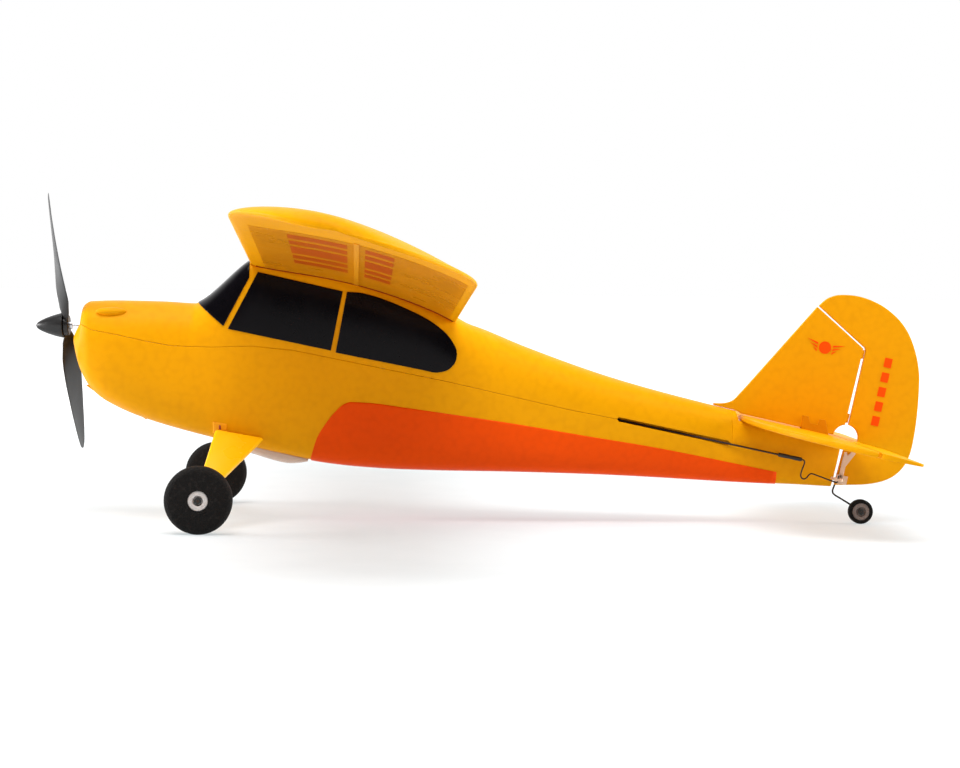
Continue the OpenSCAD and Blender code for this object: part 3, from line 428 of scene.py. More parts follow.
HALF_SPAN, CHORD, PITCH, WASHOUT, DIHEDRAL = 257.5, 86.8, 15.2, 0.4, 5.0
WING_EDGE = (-95.8, 106.0)
CENTRE_FLAT = 18.0      # half width of the middle part without dihedral
TIP_START, TIP_RIM = 200.0, 5.0
TIP_CENTRE = 0.42       # chord fraction that the tip narrows towards
CAMBER, THICKNESS, HOLLOW, TRAILING_HALF = 0.055, 0.065, 0.009, 0.0085   # in chords


def half_thick(t):
    """Half thickness at a chord fraction, with a blunt rounded trailing edge."""
    plain = 5 * THICKNESS * (
        0.2969 * math.sqrt(t) - 0.126 * t - 0.3516 * t * t + 0.2843 * t ** 3 - 0.0945 * t ** 4)
    if t < 0.6:
        return plain
    nose = max(0.0, (t - 0.985) / 0.015)
    return max(plain, TRAILING_HALF) * math.sqrt(max(0.0, 1 - nose * nose))


def mean_line(t):
    """Height of the mean line at a chord fraction."""
    return 4 * CAMBER * t * (1 - t)


def under(t):
    """Underside in chords, a little more hollow than the mean line alone would make it."""
    return mean_line(t) - half_thick(t) + HOLLOW * math.sin(math.pi * t)


def tip_shrink(y):
    """Share of the chord that is left towards the rounded tip."""
    if y <= TIP_START:
        return 1.0
    return max(0.05, math.sqrt(max(0.0, 1 - ((y - TIP_START) / (HALF_SPAN - TIP_START)) ** 2.4)))


def tip_round(y):
    """Share of the section's thickness that is left across the rounded rim of the tip."""
    if y <= HALF_SPAN - TIP_RIM:
        return 1.0
    return max(0.05, math.sqrt(max(0.0, 1 - ((y - HALF_SPAN + TIP_RIM) / TIP_RIM) ** 2)))


def wing_point(y, t, z, side=1):
    """Point at chord fraction t and height z in chords, at spanwise station y of one side."""
    shrink = tip_shrink(y)
    c = CHORD * shrink
    a = math.radians(PITCH - WASHOUT * max(0, y - CENTRE_FLAT) / (HALF_SPAN - CENTRE_FLAT))
    back = CHORD * (1 - shrink) * TIP_CENTRE
    rise = max(0, y - CENTRE_FLAT) * math.tan(math.radians(DIHEDRAL))
    # the plan narrows towards the tip while the thickness stays up to the rim
    lift = c * mean_line(t) + CHORD * tip_round(y) * (z - mean_line(t))
    return (WING_EDGE[0] + (back + c * t) * math.cos(a) + lift * math.sin(a),
            side * y,
            WING_EDGE[1] - (back + c * t) * math.sin(a) + rise + lift * math.cos(a))


SECTION_STEPS = 44
FRACTIONS = [(1 - math.cos(math.pi * i / SECTION_STEPS)) / 2 for i in range(SECTION_STEPS + 1)]
SECTION = ([(t, mean_line(t) + half_thick(t)) for t in FRACTIONS]
           + [(t, under(t)) for t in FRACTIONS[-2:0:-1]])
UNDERSIDE = [wing_point(0, t, under(t)) for t in FRACTIONS]


def roof_limit(x):
    """Height of the wing's underside over the cabin."""
    if x < UNDERSIDE[0][0] - 0.4 or x > UNDERSIDE[-1][0]:
        return math.inf
    return np.interp(x, [p[0] for p in UNDERSIDE], [p[2] for p in UNDERSIDE]) - 0.1


# ---- tail frame ----

TAIL_SLOPE = math.radians(12.1)
TAIL_ROOT = (107.6, 44.2)
ELEVATOR_ARM, ELEVATOR_CHORD, TAIL_HALF_SPAN, TAIL_THICK = 44.4, 17.2, 85.0, 2.4
TAIL_BACK = ELEVATOR_ARM + ELEVATOR_CHORD
HINGE_GAP = 0.65        # between a hinge line and the moving foam behind it
FIN_GAP = 0.35          # between the rudder hinge line and the fin
HINGE_FOOT = (151.8, 36.0)
HOLE, HOLE_R = (152.6, 36.2), 5.3


def hinge_x(z):
    """Position along X of the rudder hinge line at a height."""
    return HINGE_FOOT[0] + (z - HINGE_FOOT[1]) * math.tan(TAIL_SLOPE)


def tail_point(u, y, w):
    """Point of the tailplane's frame: u aft of its root, w above its middle plane."""
    return (TAIL_ROOT[0] + u * math.cos(TAIL_SLOPE) + w * math.sin(TAIL_SLOPE), y,
            TAIL_ROOT[1] - u * math.sin(TAIL_SLOPE) + w * math.cos(TAIL_SLOPE))


def tail_level(x, above=0.0):
    """Height at x of a plane parallel to the tailplane's middle plane."""
    return TAIL_ROOT[1] - (x - TAIL_ROOT[0]) * math.tan(TAIL_SLOPE) + above / math.cos(TAIL_SLOPE)


# ---- fuselage form ----

TOP_LINE = [
    (-169.4, 75.5), (-168.5, 77.5), (-167.5, 79.3), (-166.7, 80.6), (-166.4, 83.2), (-166.1, 85.4),
    (-165.6, 87), (-164.6, 88.1), (-162.5, 89.1), (-150, 89.6), (-132, 89.4), (-119, 88.8), (-117.3, 89.4),
    (-96.8, 106.4), (-94, 108), (-75, 106), (-14, 86), (-6, 81.8), (0, 79.7), (18.5, 72.3), (56, 59.6),
    (99, 48.6), (152, 37)]
KEEL_LINE = [
    (-169.4, 70.5), (-168.6, 67), (-167.5, 63), (-165.6, 58.6), (-161.6, 52.9), (-154, 47.5), (-142, 42.2),
    (-127, 37.7), (-111, 33.8), (-85, 28), (-65.4, 24.2), (-50, 22.6), (-35, 21.8), (-16, 21.4), (6, 21.2),
    (36, 20.6), (59, 19.8), (106, 17.4), (123, 16.7), (152, 15.6)]
WIDTH_LINE = [
    (-169.4, 6.5), (-168.6, 9), (-167.5, 11), (-165.6, 13), (-161.6, 15), (-152, 16.6), (-136, 17.6),
    (-119, 18.6), (-100, 20), (-20, 20), (0, 18.8), (30, 15.9), (56, 13.2), (80, 11), (100, 9), (125, 5.8),
    (152, 2.2)]
# how square the section's upper and lower halves are, from 2 for an ellipse
TOP_SQUARE = [
    (-169, 2.1), (-150, 2.5), (-120, 3), (-104, 5), (-96, 7), (-24, 7), (4, 3), (56, 2.5), (152, 2.4)]
KEEL_SQUARE = [(-169, 2.1), (-150, 2.6), (-120, 4), (-100, 5), (40, 4.6), (110, 3.4), (152, 2.6)]
SEAM_LINE = [
    (-175, 82.5), (-166.3, 80.2), (-160.5, 77.7), (-150.3, 76), (-137.8, 73.4), (-127.2, 71.7),
    (-111.5, 71.4), (-94.6, 72.1), (-77.7, 70.6), (-17.1, 59), (35.6, 47.3), (58.5, 43), (104, 33.5),
    (152, 23.5)]
UPPER_END = 104.0
NOSE_EDGE = -166.4
NOSE_TIP = -169.4
NOSE_SHORT = 1.1        # how far the moulded nose stays behind the design lines
BAY = (-104.6, -70.5)   # battery opening in the belly
BAY_HALF = 11.3
SLOT = (56.0, 102.0)    # pushrod slots along the seam
SLOT_HALF, SEAM_HALF = 0.92, 0.045
WALL = 3.0
WALL_SHARE = [(-170, 0.15), (-158, 0.8), (-150, 1), (40, 1), (62, 0.4), (104, 0.12), (152, 0.05)]
TAIL_END = 152.0
TAIL_LEAN = 132.0       # stations lean with the hinge line aft of this
UNDER_TAIL = 106.8      # the shell stays below the tailplane aft of this


def half_section(x, grow=0.0):
    """Starboard half of the section at x: arrays y, z and arc length from top centre to keel centre."""
    top = curve(x, TOP_LINE) + grow
    keel = curve(x, KEEL_LINE) - grow
    width = curve(x, WIDTH_LINE) + grow
    middle, half = (top + keel) / 2, (top - keel) / 2
    t = np.linspace(-1, 1, 361)
    a = -np.sign(t) * (1 - (1 - np.abs(t)) ** 2.2) * math.pi / 2
    square = np.where(a > 0, straight(x, TOP_SQUARE), straight(x, KEEL_SQUARE))
    y = width * np.abs(np.cos(a)) ** (2 / square)
    z = middle + half * np.sign(a) * np.abs(np.sin(a)) ** (2 / square)
    y[0] = y[-1] = 0.0
    z = np.minimum(z, roof_limit(x) + grow)
    arc = np.concatenate([[0], np.cumsum(np.hypot(np.diff(y), np.diff(z)))])
    return y, z, arc


def arc_at_level(section, level):
    """Arc length where the section passes a height on its way down."""
    _, z, arc = section
    return float(np.interp(-level, -z, arc))


def arc_at_width(section, width):
    """Arc length where the section comes in to a half width on the keel's side."""
    y, _, arc = section
    k = int(np.argmax(y))
    return float(np.interp(-width, -y[k:], arc[k:]))


def nose_set(x):
    """The moulded nose ends a little short of the design lines."""
    start = -156.0
    return x + NOSE_SHORT * min(max((start - x) / (start - NOSE_TIP), 0), 1)


def section_points(x, section, arcs):
    """Points of a section at arc lengths from its top centre."""
    y, z, arc = section
    x = nose_set(x)
    return [(x, float(np.interp(s, arc, y)), float(np.interp(s, arc, z))) for s in arcs]


def seam_half(x):
    """Half height of the gap along the seam, wider where the pushrods run."""
    return float(np.interp(x, [SLOT[0] - 0.8, SLOT[0], SLOT[1], SLOT[1] + 0.8],
                           [SEAM_HALF, SLOT_HALF, SLOT_HALF, SEAM_HALF]))


def pulled_in(point, centre_z, amount):
    """A point moved a little towards the middle of its section, which rounds a foam edge."""
    x, y, z = point
    away = math.hypot(y, z - centre_z)
    return (x, y - amount * y / away, z - amount * (z - centre_z) / away)


def mirrored_rows(rows, middle_first):
    """Full rows from starboard half rows; the row's shared middle point is its first or its last one."""
    full = []
    for row in rows:
        other = [(x, -y, z) for x, y, z in row]
        if middle_first:
            full.append(other[:0:-1] + row)
        else:
            full.append(row + other[-2::-1])
    return full


def spread(*stretches):
    """Stations over stretches of (start, end, step), without repeats."""
    out = []
    for start, end, step in stretches:
        n = max(1, round(abs(end - start) / step))
        out += [start + (end - start) * i / n for i in range(n)]
    return out + [stretches[-1][1]]


EDGE_BAND = [0.0, 0.1, 0.25]    # rows close to a foam edge, which round it


def upper_row(x):
    """Starboard half row of the upper moulding, from its top centre to the seam."""
    section = half_section(x)
    end = arc_at_level(section, straight(x, SEAM_LINE) + seam_half(x))
    arcs = [*np.linspace(0, end - 0.4, 64), *[end - b for b in EDGE_BAND[::-1]]]
    row = section_points(x, section, arcs)
    row[-1] = pulled_in(row[-1], row[-1][2], 0.14)
    row[-2] = pulled_in(row[-2], row[-2][2], 0.03)
    return row


def build_upper():
    stations = spread((NOSE_EDGE, -166.2, 0.1), (-166.2, -165, 0.2), (-165, -160, 0.6), (-160, -121, 2),
                      (-121, -115, 0.75), (-115, -92, 1.0), (-92, -14, 1.5), (-14, 4, 1.2), (4, 54, 3),
                      (54, 58, 0.4), (58, 100, 3), (100, UPPER_END, 0.5))
    rows = [upper_row(x) for x in stations]
    front = rows[0]
    seam_z = front[-1][2]
    # the blunt front edge turns in towards the seam's middle
    inner = []
    for scale, forward in ((0.9, 0.12), (0.97, 0.05)):
        inner.append([(x - forward, y * scale, seam_z + (z - seam_z) * scale) for x, y, z in front])
    rows = inner + rows
    full = mirrored_rows(rows, middle_first=True)
    points = [p for row in full for p in row]
    columns = len(full[0])
    faces = strip_faces(len(full), columns)
    # front wall between the two sides of the first row
    half = columns // 2
    faces += [(half - j, half + j, half + j + 1, half - j - 1) for j in range(1, half)]
    faces.append((half, half + 1, half - 1))
    upper = add_piece("foam_upper", points, faces, "yellow_foam", replaces=["fuselage_upper"], sharp=50)
    hollow(upper)
    for word, side in SIDES:
        add_piece("cowl_bump_" + word, *ovoid((-152.5, side * 12, 85.3), (6.2, 2.3, 1.7)), "yellow_foam")


def hollow(shell):
    """Gives a moulding its wall, which thins towards the nose and the tail."""
    group = shell.vertex_groups.new(name="wall")
    for v in shell.data.vertices:
        group.add([v.index], float(straight(v.co.x / MM, WALL_SHARE)), "REPLACE")
    thickened(shell, WALL, -1.0).modifiers[-1].vertex_group = "wall"


def tail_post_x(z):
    """Rear edge of the fuselage, with the round opening cut out of it."""
    x = hinge_x(z) - HINGE_GAP
    dz = z - HOLE[1]
    if abs(dz) < HOLE_R:
        x = min(x, HOLE[0] - math.sqrt(HOLE_R ** 2 - dz * dz))
    return x


def lower_half_row(x):
    """Starboard half row of the lower moulding: its cap over the top where it has one, side and keel."""
    section = half_section(x)
    total = section[2][-1]
    if x < NOSE_EDGE - 0.05:
        split = total * straight(x, [(NOSE_TIP, 0.3), (NOSE_EDGE - 0.2, 0.36)])
    else:
        split = arc_at_level(section, straight(x, SEAM_LINE) - seam_half(x))
    width = curve(x, WIDTH_LINE)
    keel_arc = arc_at_width(section, min(BAY_HALF, 0.62 * width))
    cap = section_points(x, section, np.linspace(0, split, 10))
    side_arcs = [*[split + b for b in EDGE_BAND], *np.linspace(split + 0.4, keel_arc, 44)]
    side = section_points(x, section, side_arcs)
    keel = section_points(x, section, np.linspace(keel_arc, total, 9))[1:]
    open_top = NOSE_EDGE - 0.05 <= x < UPPER_END
    if open_top:
        side[0] = pulled_in(side[0], side[0][2], 0.14)
        side[1] = pulled_in(side[1], side[1][2], 0.03)
    return cap, side, keel


def tail_shift(point):
    """Near the tail the shell stays below the tailplane, leans with the hinge line and gives way to the
    round opening."""
    x, y, z = point
    if x > UNDER_TAIL:
        z = min(z, tail_level(x, -TAIL_THICK / 2 - 0.1))
    if x <= TAIL_LEAN:
        return (x, y, z)
    share = (x - TAIL_LEAN) / (TAIL_END - TAIL_LEAN)
    return (TAIL_LEAN + share * (tail_post_x(z) - TAIL_LEAN), y, z)


def build_lower():
    stations = spread((NOSE_TIP, -166.9, 0.25), (-166.9, -165.8, 0.2), (-165.8, -160, 0.8),
                      (-160, -106.6, 2), (-106.6, BAY[0], 1), (BAY[0], BAY[1], 1.7), (BAY[1], 54, 2),
                      (54, 58, 0.4), (58, 100, 3), (100, UPPER_END, 0.5), (UPPER_END, 110, 1),
                      (110, 140, 2.5), (140, TAIL_END, 1.0))
    rows = [lower_half_row(x) for x in stations]
    points, faces = [], []

    def add_grid(half_rows, mirror=1, skip=None):
        start = len(points)
        columns = len(half_rows[0])
        for row in half_rows:
            points.extend(tail_shift((x, mirror * y, z)) for x, y, z in row)
        for i, quad in enumerate(strip_faces(len(half_rows), columns, first=start)):
            if skip is None or not skip(i // (columns - 1)):
                faces.append(quad)

    in_bay = lambda i: BAY[0] - 0.01 <= stations[i] and stations[i + 1] <= BAY[1] + 0.01
    nose = [r[0] for x, r in zip(stations, rows) if x < NOSE_EDGE - 0.05]
    tail = [r[0] for x, r in zip(stations, rows) if x >= UPPER_END]
    for mirror in (1, -1):
        add_grid([r[1] for r in rows], mirror)
        add_grid([[r[1][-1]] + r[2] for r in rows], mirror, in_bay)
        add_grid(nose, mirror)
        add_grid(tail, mirror)
    # rounded cap over the very front
    front = rows[0][0] + rows[0][1][1:] + rows[0][2]
    ring = front + [(x, -y, z) for x, y, z in front[-2:0:-1]]
    middle = (curve(NOSE_TIP, TOP_LINE) + curve(NOSE_TIP, KEEL_LINE)) / 2
    caps = [[(x - forward, y * scale, middle + (z - middle) * scale) for x, y, z in ring]
            for scale, forward in ((1, 0), (0.86, 0.07), (0.6, 0.12), (0.3, 0.15), (0.05, 0.16))]
    start = len(points)
    points += [p for r in caps for p in r]
    faces += strip_faces(len(caps), len(ring), closed=True, first=start)
    faces.append(tuple(start + (len(caps) - 1) * len(ring) + j for j in range(len(ring))))
    # flat end of the tail post, and the wall above the seam where the upper moulding ends
    for half_row in (rows[-1][0] + rows[-1][1][1:] + rows[-1][2], tail[0]):
        start = len(points)
        points += [tail_shift((x, s * y, z)) for x, y, z in half_row for s in (1, -1)]
        faces += [(start + 2 * j, start + 2 * j + 2, start + 2 * j + 3, start + 2 * j + 1)
                  for j in range(len(half_row) - 1)]
    lower = add_piece("foam_lower", points, faces, "yellow_foam", replaces=["fuselage_lower"], sharp=50)
    hollow(lower)


def build_lugs():
    """Small moulding nubs under the nose."""
    for name, x, z in (("front", -161.3, 53.2), ("rear", -139.8, 41.6)):
        wedge = [(x - 2.4, z + 1.2), (x + 0.9, z - 1.1), (x + 2.0, z - 0.2), (x + 1.0, z + 1.8)]
        bevelled(add_piece("nose_lug_" + name, *plate(wedge, in_side, 3.2), "yellow_foam"), 0.3, 3)


# ---- films and printed panels on the fuselage ----

FILM, PRINT = 0.2, 0.1      # thicknesses


def side_patch(stations, high, low, mirror, columns, lift):
    """Rows on one side of the fuselage between two heights that are functions of x."""
    rows = []
    for x in stations:
        section = half_section(x, lift)
        start = arc_at_level(section, high(x))
        end = max(start, arc_at_level(section, low(x)))
        row = section_points(x, section, np.linspace(start, end, columns))
        rows.append([(px, mirror * y, z) for px, y, z in row])
    return rows


def both_sides(name, stations, high, low, slot, replaces=(), thick=FILM, columns=48, lift=0.2):
    """A thin skin on each side, the first of them standing for the CAD node."""
    for word, mirror in SIDES:
        skin = add_sheet(f"{name}_{word}", side_patch(stations, high, low, mirror, columns, lift), slot,
                         replaces=replaces if mirror < 0 else (), sharp=60)
        outward(skin, 1, mirror)
        thickened(skin, thick)


def line(*points):
    """Height as a function of x, straight between points."""
    return lambda x: float(straight(x, points))


def arched(*points):
    """Height as a function of x, curved through points."""
    return lambda x: curve(x, points)


def build_windows():
    middle_low = line((-104.6, 79), (-62.8, 70.7), (-58.3, 94.6))
    middle_high = line((-104.6, 79.1), (-92.7, 102.2), (-58.3, 94.8))
    both_sides("middle_window", spread((-104.6, -92.7, 0.8), (-92.7, -62.8, 2), (-62.8, -58.3, 0.6)),
               middle_high, middle_low, "black_film", ["side_window_film"])
    front_post = line((-60.8, 70), (-56.5, 94.6))
    arch = arched((-56.5, 94.6), (-52, 94.4), (-46.3, 93.2), (-40, 91.2), (-33.3, 88.5), (-22.8, 83.4),
                  (-15.4, 77.6), (-12.6, 73.6), (-11.7, 71.6), (-11.4, 69.9))
    sill = arched((-60.8, 69.9), (-40, 66), (-23.7, 62.9), (-20.3, 62.2), (-16.1, 62.9), (-12.9, 65.3),
                  (-11.8, 67.4), (-11.4, 69.6))
    stations = spread((-60.8, -56.5, 0.6), (-56.5, -18, 1.6), (-18, -13, 0.6), (-13, -11.8, 0.2),
                      (-11.8, -11.4, 0.06))
    both_sides("rear_window", stations, lambda x: front_post(x) if x < -56.5 else arch(x), sill, "black_film")
    edge = line((-117.4, 89.3), (-106.5, 80.1), (-95.6, 101.2))
    rows = []
    for x in spread((-117.4, -106.5, 0.7), (-106.5, -96.2, 0.7)):
        section = half_section(x, 0.2)
        rows.append(section_points(x, section, np.linspace(0, arc_at_level(section, edge(x)), 48)))
    film = add_sheet("windscreen", mirrored_rows(rows, middle_first=True), "black_film",
                     replaces=["windscreen_film"], sharp=60)
    outward(film, 2, 1)
    thickened(film, FILM)


def build_panel():
    top = arched((-70.5, 26.7), (-68.1, 34.7), (-65.3, 39.7), (-61.2, 45.2), (-57, 49), (-54.5, 49.8),
                 (-47, 49.5), (-32.8, 47.8), (9.3, 42), (43.2, 36.5), (72.3, 31.8), (123.2, 21.8))
    stations = spread((-70.5, -69.7, 0.1), (-69.7, -66, 0.35), (-66, -54, 0.7), (-54, 123, 2))
    rows = []
    for x in stations:
        section = half_section(x, 0.12)
        arcs = np.linspace(arc_at_level(section, top(x)), section[2][-1], 56)
        rows.append(section_points(x, section, arcs))
    panel = add_sheet("belly_print", mirrored_rows(rows, middle_first=False), "orange_print",
                      replaces=["side_panels"], sharp=60)
    outward(panel, 2, -1)
    thickened(panel, PRINT)


# ---- wing ----

# stations and chord fractions of the printed bars below the wing
PRINT_BARS = [(70, 84), (92, 106), (114, 142), (150, 164), (172, 186)]
PRINT_CHORDS = [(0.225, 0.465), (0.54, 0.66)]


def build_wing():
    tip = [TIP_START + (HALF_SPAN - TIP_START) * math.sin(math.pi / 2 * i / 26) for i in range(27)]
    inboard = spread((0, CENTRE_FLAT - 2, 8), (CENTRE_FLAT - 2, CENTRE_FLAT + 2, 1),
                     (CENTRE_FLAT + 2, TIP_START, 9))
    half = inboard[:-1] + tip
    rings = [[wing_point(abs(y), t, z, -1 if y < 0 else 1) for t, z in SECTION]
             for y in [-y for y in half[:0:-1]] + half]
    add_piece("foam_wing", *loft(rings), "yellow_foam", replaces=["wing_left", "wing_right"], sharp=60)
    prints = []
    for word, side in SIDES:
        joint = [wing_point(20.3, t, under(t), side) for t in np.linspace(0.03, 0.985, 40)]
        shade_line = tube([(x, y, z - 0.15) for x, y, z in joint], 0.3, 10)
        add_piece("wing_joint_" + word, *shade_line, "yellow_foam", material=JOINT_SHADE)
        # tape below each wing half, its darker colour painted shade of the underside
        tape = underside_strip(0.075, 0.965, 21, 196, side, 0.05, 0.05, 24)
        add_piece("shaded_under_tape_" + word, *tape, "yellow_foam", material=SHADED_UNDER_TAPE)
        spar = underside_strip(0.492, 0.514, 22, 200, side, 0.3, 0.06)
        add_piece("spar_strip_" + word, *spar, "spar_strip", replaces=["wing_spars"] if side < 0 else ())
        prints += [underside_strip(*chords, *bar, side, 0.08, 0.1, 8, 4)
                   for bar in PRINT_BARS for chords in PRINT_CHORDS]
    # the printed bars' darker colour is painted shade of the underside
    add_piece("under_print", *join(*prints), "orange_print", replaces=["wing_stripes"], material=SHADED_PRINT)


def underside_strip(t0, t1, y0, y1, side, drop, lift, across=3, along=30):
    """A strip below the wing's underside, off it by a lift and as thick as its drop."""
    rings = []
    for i in range(along + 1):
        y = y0 + (y1 - y0) * i / along
        near = [wing_point(y, t, under(t), side) for t in np.linspace(t0, t1, across)]
        rings.append([(x, yy, z - lift) for x, yy, z in near]
                     + [(x, yy, z - drop - lift) for x, yy, z in reversed(near)])
    points, faces = loft(rings, caps=False)
    for start in (0, along * 2 * across):
        faces += [(start + i, start + i + 1, start + 2 * across - 2 - i, start + 2 * across - 1 - i)
                  for i in range(across - 1)]
    return points, faces


# ---- tail surfaces ----

def plate(outline, place, thick=TAIL_THICK):
    """A flat plate with an outline (u, v), through place(u, v, height)."""
    n = len(outline)
    points = [place(u, v, thick / 2) for u, v in outline] + [place(u, v, -thick / 2) for u, v in outline]
    faces = [tuple(range(n)), tuple(range(2 * n - 1, n - 1, -1))]
    faces += [(i, i + n, (i + 1) % n + n, (i + 1) % n) for i in range(n)]
    return points, faces


def in_elevator(u, y, w):
    """The elevator is a wedge that thins towards its trailing edge."""
    return tail_point(u, y, w * (1 - 0.55 * (u - ELEVATOR_ARM) / ELEVATOR_CHORD))


def in_side(x, z, w):
    """A plate's point in the plane of symmetry."""
    return (x, w, z)


def tail_edge(y):
    """Leading edge of the whole tailplane, aft from its root."""
    return TAIL_BACK - (TAIL_BACK - 0.6) * math.sqrt(max(0, 1 - (abs(y) / TAIL_HALF_SPAN) ** 3.6))


def arc_points(centre, radius, start, end, steps):
    """Points of an arc between two angles in degrees."""
    return [(centre[0] + radius * math.cos(math.radians(a)), centre[1] + radius * math.sin(math.radians(a)))
            for a in np.linspace(start, end, steps)]


def build_tail():
    spans = [TAIL_HALF_SPAN * math.sin(math.pi / 2 * i / 56) for i in range(-56, 57)]
    hinge = ELEVATOR_ARM - HINGE_GAP
    front = [(tail_edge(y), y) for y in spans if tail_edge(y) < hinge - 0.3]
    outline = front + [(hinge, front[-1][1] + 0.4), (hinge, front[0][1] - 0.4)]
    bevelled(add_piece("foam_stabilizer", *plate(outline, tail_point), "yellow_foam",
                       replaces=["stabilizer"]), 0.8)
    hinge = ELEVATOR_ARM + HINGE_GAP
    corner = 2.2
    tip = [(tail_edge(y), y) for y in spans if hinge + 0.4 < tail_edge(y) < TAIL_BACK - corner and y > 0]
    tip = [(hinge, tip[0][1] - 0.4)] + tip
    rounding = arc_points((TAIL_BACK - corner, TAIL_HALF_SPAN - corner), corner, 90, 0, 8)
    right = tip + rounding + [(TAIL_BACK, 10.8), (ELEVATOR_ARM + 3.4, 3)]
    left = [(u, -y) for u, y in right[::-1]]
    bevelled(add_piece("foam_elevator", *plate(right + left, in_elevator), "yellow_foam", body="elevator",
                       replaces=["elevator"]), 0.45)
    build_fin()
    build_rudder()
    build_tail_details()


def build_tail_details():
    """Tab marks where the fin's foot is held, and the rudder's moulded bracket."""
    tab = [(133.6, 38), (134.3, 45.4), (136.8, 45.0), (137.4, 42.2), (140.6, 41.5), (141.4, 43.9),
           (143.9, 43.5), (145.6, 35.6)]
    for word, side in SIDES:
        raised = plate(tab, lambda x, z, w: (x, side * (TAIL_THICK / 2 + 0.25) + w, z), 0.8)
        # the tabs' darker foam is painted shade round them
        bevelled(add_piece("fin_tab_" + word, *raised, "yellow_foam", material=SHADED_TAB_FOAM), 0.15, 2)
    webs = [plate([(hinge_x(z) - 1.6, z), (hinge_x(z) + 0.35, z), (hinge_x(z + h) + 0.35, z + h),
                   (hinge_x(z + h) - 1.6, z + h)], in_side, 1.2) for z, h in ((69.3, 3.6), (42.4, 3.8))]
    add_piece("rudder_hinge_webs", *join(*webs), "yellow_foam")
    spine = [(z, hinge_x(z)) for z in (16.8, 20, 24, 27)]
    bracket = [(x + 1.5, z) for z, x in spine] + [(152.2, 30.2), (153.2, 30.2), (153.4, 28.6), (155.4, 30.6),
               (156.8, 30.7), (156.8, 29.4), (154.8, 26.8)] + [(x + 3.4, z) for z, x in spine[2::-1]]
    beside = plate(bracket, lambda x, z, w: (x, w - TAIL_THICK / 2 - 0.5, z), 0.8)
    bevelled(add_piece("rudder_bracket", *beside, "horn_plastic", body="rudder"), 0.25, 3)


def build_fin():
    foot = TAIL_THICK / 2 + 0.5
    route = [(96.8, 50, 0), (101.5, 50.1, 0), (105, 51.3, 0), (107.8, 54.1, 0), (112, 58.8, 0)]
    outline = [(p[0], p[1]) for p in smooth_route(route, 5)]
    outline += [(139.75, 90.75), (hinge_x(73) - FIN_GAP, 73.55)]
    outline += arc_points(HOLE, HOLE_R, 93, 166, 20)
    left = outline[-1]
    outline += [(left[0] - 0.3, tail_level(left[0] - 0.3, foot)), (108.4, tail_level(108.4, foot)),
                *[(x, curve(x, TOP_LINE) + 0.1) for x in (106.6, 103, 100, 96.8)]]
    bevelled(add_piece("foam_fin", *plate(outline, in_side), "yellow_foam", replaces=["fin"]), 0.5)


RUDDER_EDGE = [
    (140.3, 91.2), (143.2, 93.8), (146, 95.2), (149.5, 95.9), (155.8, 95.6), (162, 93.9), (168.2, 90.8),
    (174.4, 85.6), (178.6, 79.6), (181.4, 72.4), (182.9, 65.5), (183.3, 59), (182.7, 46), (181.2, 34.5),
    (179.4, 27.8), (176.8, 23.4), (173, 20), (168, 17.8), (161.4, 16.6), (154, 16.3)]


def build_rudder():
    rear = [(p[0], p[1]) for p in smooth_route([(x, z, 0) for x, z in RUDDER_EDGE], 4)]
    outline = rear + [(hinge_x(16.3) + HINGE_GAP, 16.3)] + arc_points(HOLE, HOLE_R, -98, 78, 40)
    outline += [(hinge_x(72.6) + HINGE_GAP, 72.6), (hinge_x(73.4) + HINGE_GAP - 0.35, 73.75)]
    bevelled(add_piece("foam_rudder", *plate(outline, in_side), "yellow_foam", body="rudder",
                       replaces=["rudder"]), 0.5)


# ---- drive ----

PROP = JOINTS["prop_spin"]
SHAFT_FOOT = Vector(PROP["pos_m"]) / MM
SHAFT_DIR = Vector(PROP["axis"]).normalized()
SHAFT_UP = (Vector((0, 0, 1)) - SHAFT_DIR * SHAFT_DIR.z).normalized()
SHAFT_SIDE = SHAFT_DIR.cross(SHAFT_UP)
PROP_R, BLADE_TURN, HUB_LEN, HUB_R = 65.0, 35.0, 2.4, 4.2
SPINNER_R, SPINNER_LEN = 5.2, 11.5


def on_shaft(x, y, z):
    """Local +Z forward along the shaft and local +X up."""
    return tuple(SHAFT_FOOT + SHAFT_UP * x + SHAFT_SIDE * y + SHAFT_DIR * z)


# share of the radius, chord and thickness
BLADE = [
    (0.05, 5.4, 2.2), (0.1, 6.4, 2.4), (0.18, 8.2, 2.0), (0.3, 11.4, 1.6), (0.45, 13, 1.3), (0.6, 12.6, 1.1),
    (0.75, 10.8, 0.95), (0.87, 8.4, 0.8), (0.95, 5.8, 0.65), (0.985, 3.6, 0.55), (1, 1.2, 0.3)]
BLADE_ROOT = 0.055
ADVANCE = 70.0          # distance that the pitch carries the blade in a full turn


def blade_ring(share, turn):
    """Section at a share of the radius, of the blade that points along a turn's angle."""
    chord = curve(share, [(s[0], s[1]) for s in BLADE])
    thick = curve(share, [(s[0], s[2]) for s in BLADE])
    r = share * PROP_R
    pitch = min(math.atan(ADVANCE / (2 * math.pi * r)), math.radians(38))
    fold = min(1.0, max(0.0, (share - BLADE_ROOT) / 0.05))
    highest = HUB_LEN / 2 - 0.12 if r < SPINNER_R + 0.5 else math.inf
    ring = []
    for a in around(28):
        c = chord / 2 * math.cos(a)
        # flatter behind, and bowed along the chord
        t = thick / 2 * math.sin(a) * (1 if math.sin(a) > 0 else 0.55)
        t += 0.04 * chord * (1 - (2 * c / chord) ** 2)
        y = c * math.cos(pitch) - t * math.sin(pitch)
        z = (c * math.sin(pitch) + t * math.cos(pitch)) * (0.45 + 0.55 * fold)
        ring.append(on_shaft(r * math.cos(turn) - y * math.sin(turn),
                             r * math.sin(turn) + y * math.cos(turn), min(z, highest) - HUB_LEN / 2))
    return ring


